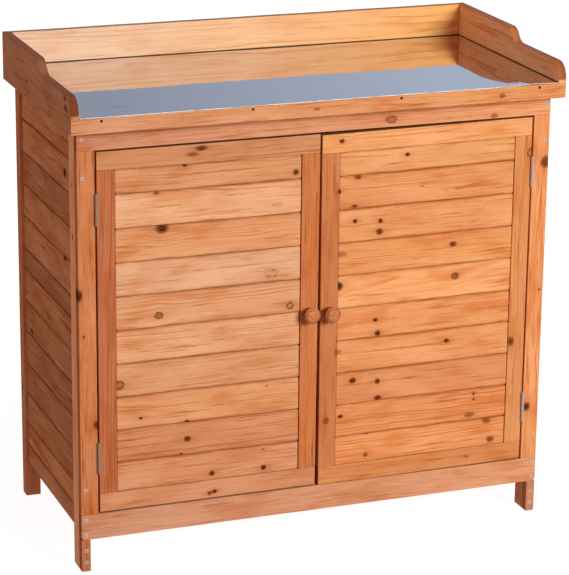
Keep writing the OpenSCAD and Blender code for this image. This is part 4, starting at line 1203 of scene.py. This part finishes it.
world = bpy.data.worlds.new("studio")
scene.world = world
world.use_nodes = True
t = world.node_tree
t.nodes.clear()
wo = t.nodes.new("ShaderNodeOutputWorld")
lp = t.nodes.new("ShaderNodeLightPath")
amb = t.nodes.new("ShaderNodeBackground")
amb.inputs[0].default_value = (1.42, 1.08, 0.89, 1)
amb_gain = t.nodes.new("ShaderNodeMapRange")
for i, x in ((1, -1.0), (2, 0.0), (3, 0.375), (4, 0.30)):
    amb_gain.inputs[i].default_value = x
t.links.new(amb_gain.outputs[0], amb.inputs[1])
gloss = t.nodes.new("ShaderNodeBackground")
cam_bg = t.nodes.new("ShaderNodeBackground")
cam_bg.inputs[0].default_value = (1, 1, 1, 1)
cam_bg.inputs[1].default_value = 1.0
tc = t.nodes.new("ShaderNodeTexCoord")
sx = t.nodes.new("ShaderNodeSeparateXYZ")
t.links.new(tc.outputs["Generated"], sx.inputs[0])
t.links.new(sx.outputs[0], amb_gain.inputs[0])
ramp = t.nodes.new("ShaderNodeValToRGB")
cr = ramp.color_ramp
cr.elements[0].position = 0.0
cr.elements[0].color = (0.05, 0.045, 0.04, 1)
cr.elements[1].position = 1.0
cr.elements[1].color = (0.70, 0.74, 0.80, 1)
for pos, c in ((0.49, (0.06, 0.055, 0.05, 1)), (0.52, (0.385, 0.462, 0.58, 1)), (0.72, (0.41, 0.482, 0.605, 1)), (0.85, (0.55, 0.60, 0.68, 1))):
    e = cr.elements.new(pos)
    e.color = c
mr = t.nodes.new("ShaderNodeMapRange")
mr.inputs[1].default_value = -1
mr.inputs[2].default_value = 1
t.links.new(sx.outputs[2], mr.inputs[0])
t.links.new(mr.outputs[0], ramp.inputs[0])
side_gain = t.nodes.new("ShaderNodeMapRange")
side_gain.inputs[1].default_value = 0.28
side_gain.inputs[2].default_value = 0.40
side_gain.inputs[3].default_value = 0.80
side_gain.inputs[4].default_value = 1.18
t.links.new(sx.outputs[0], side_gain.inputs[0])
t.links.new(ramp.outputs[0], gloss.inputs[0])
t.links.new(side_gain.outputs[0], gloss.inputs[1])
mx1 = t.nodes.new("ShaderNodeMixShader")
mx2 = t.nodes.new("ShaderNodeMixShader")
t.links.new(lp.outputs["Is Glossy Ray"], mx1.inputs[0])
t.links.new(amb.outputs[0], mx1.inputs[1])
t.links.new(gloss.outputs[0], mx1.inputs[2])
t.links.new(lp.outputs["Is Camera Ray"], mx2.inputs[0])
t.links.new(mx1.outputs[0], mx2.inputs[1])
t.links.new(cam_bg.outputs[0], mx2.inputs[2])
t.links.new(mx2.outputs[0], wo.inputs[0])


def area(name, loc, target, size, power, colour=(1, 1, 1)):
    L = bpy.data.lights.new(name, "AREA")
    L.shape = "DISK"
    L.size = size
    L.energy = power
    L.color = colour
    o = bpy.data.objects.new(name, L)
    scene.collection.objects.link(o)
    o.location = loc
    o.rotation_euler = (Vector(target) - Vector(loc)).to_track_quat("-Z", "Y").to_euler()
    return o


key = area("key", (2.8, -6.9, 3.3), (0, -0.1, 0.5), 2.9, 692, (0.848, 0.985, 1.05))
key.visible_glossy = False

cam = bpy.data.cameras.new("camera")
cam.sensor_fit = "AUTO"
cam.sensor_width = 36.0
cam.lens = 2551.455 * 36.0 / 575.0
cam.shift_x = -4.822 / 575.0
cam.shift_y = -5.391 / 575.0
cam.clip_end = 200
yaw, pitch, roll = 0.362972, 0.303328, 0.0120575
fwd = Vector((math.sin(yaw) * math.cos(pitch), math.cos(yaw) * math.cos(pitch), -math.sin(pitch)))
right = Vector((math.cos(yaw), -math.sin(yaw), 0.0))
up = right.cross(fwd)
r2 = math.cos(roll) * right + math.sin(roll) * up
u2 = -math.sin(roll) * right + math.cos(roll) * up
mat = Matrix.Identity(4)
for i, c in enumerate((r2, u2, -fwd)):
    for j in range(3):
        mat[j][i] = c[j]
mat.translation = Vector((-1.69050, -4.50575, 1.97201))
co = bpy.data.objects.new("camera", cam)
scene.collection.objects.link(co)
co.matrix_world = mat
scene.camera = co
scene.view_settings.view_transform = "Standard"
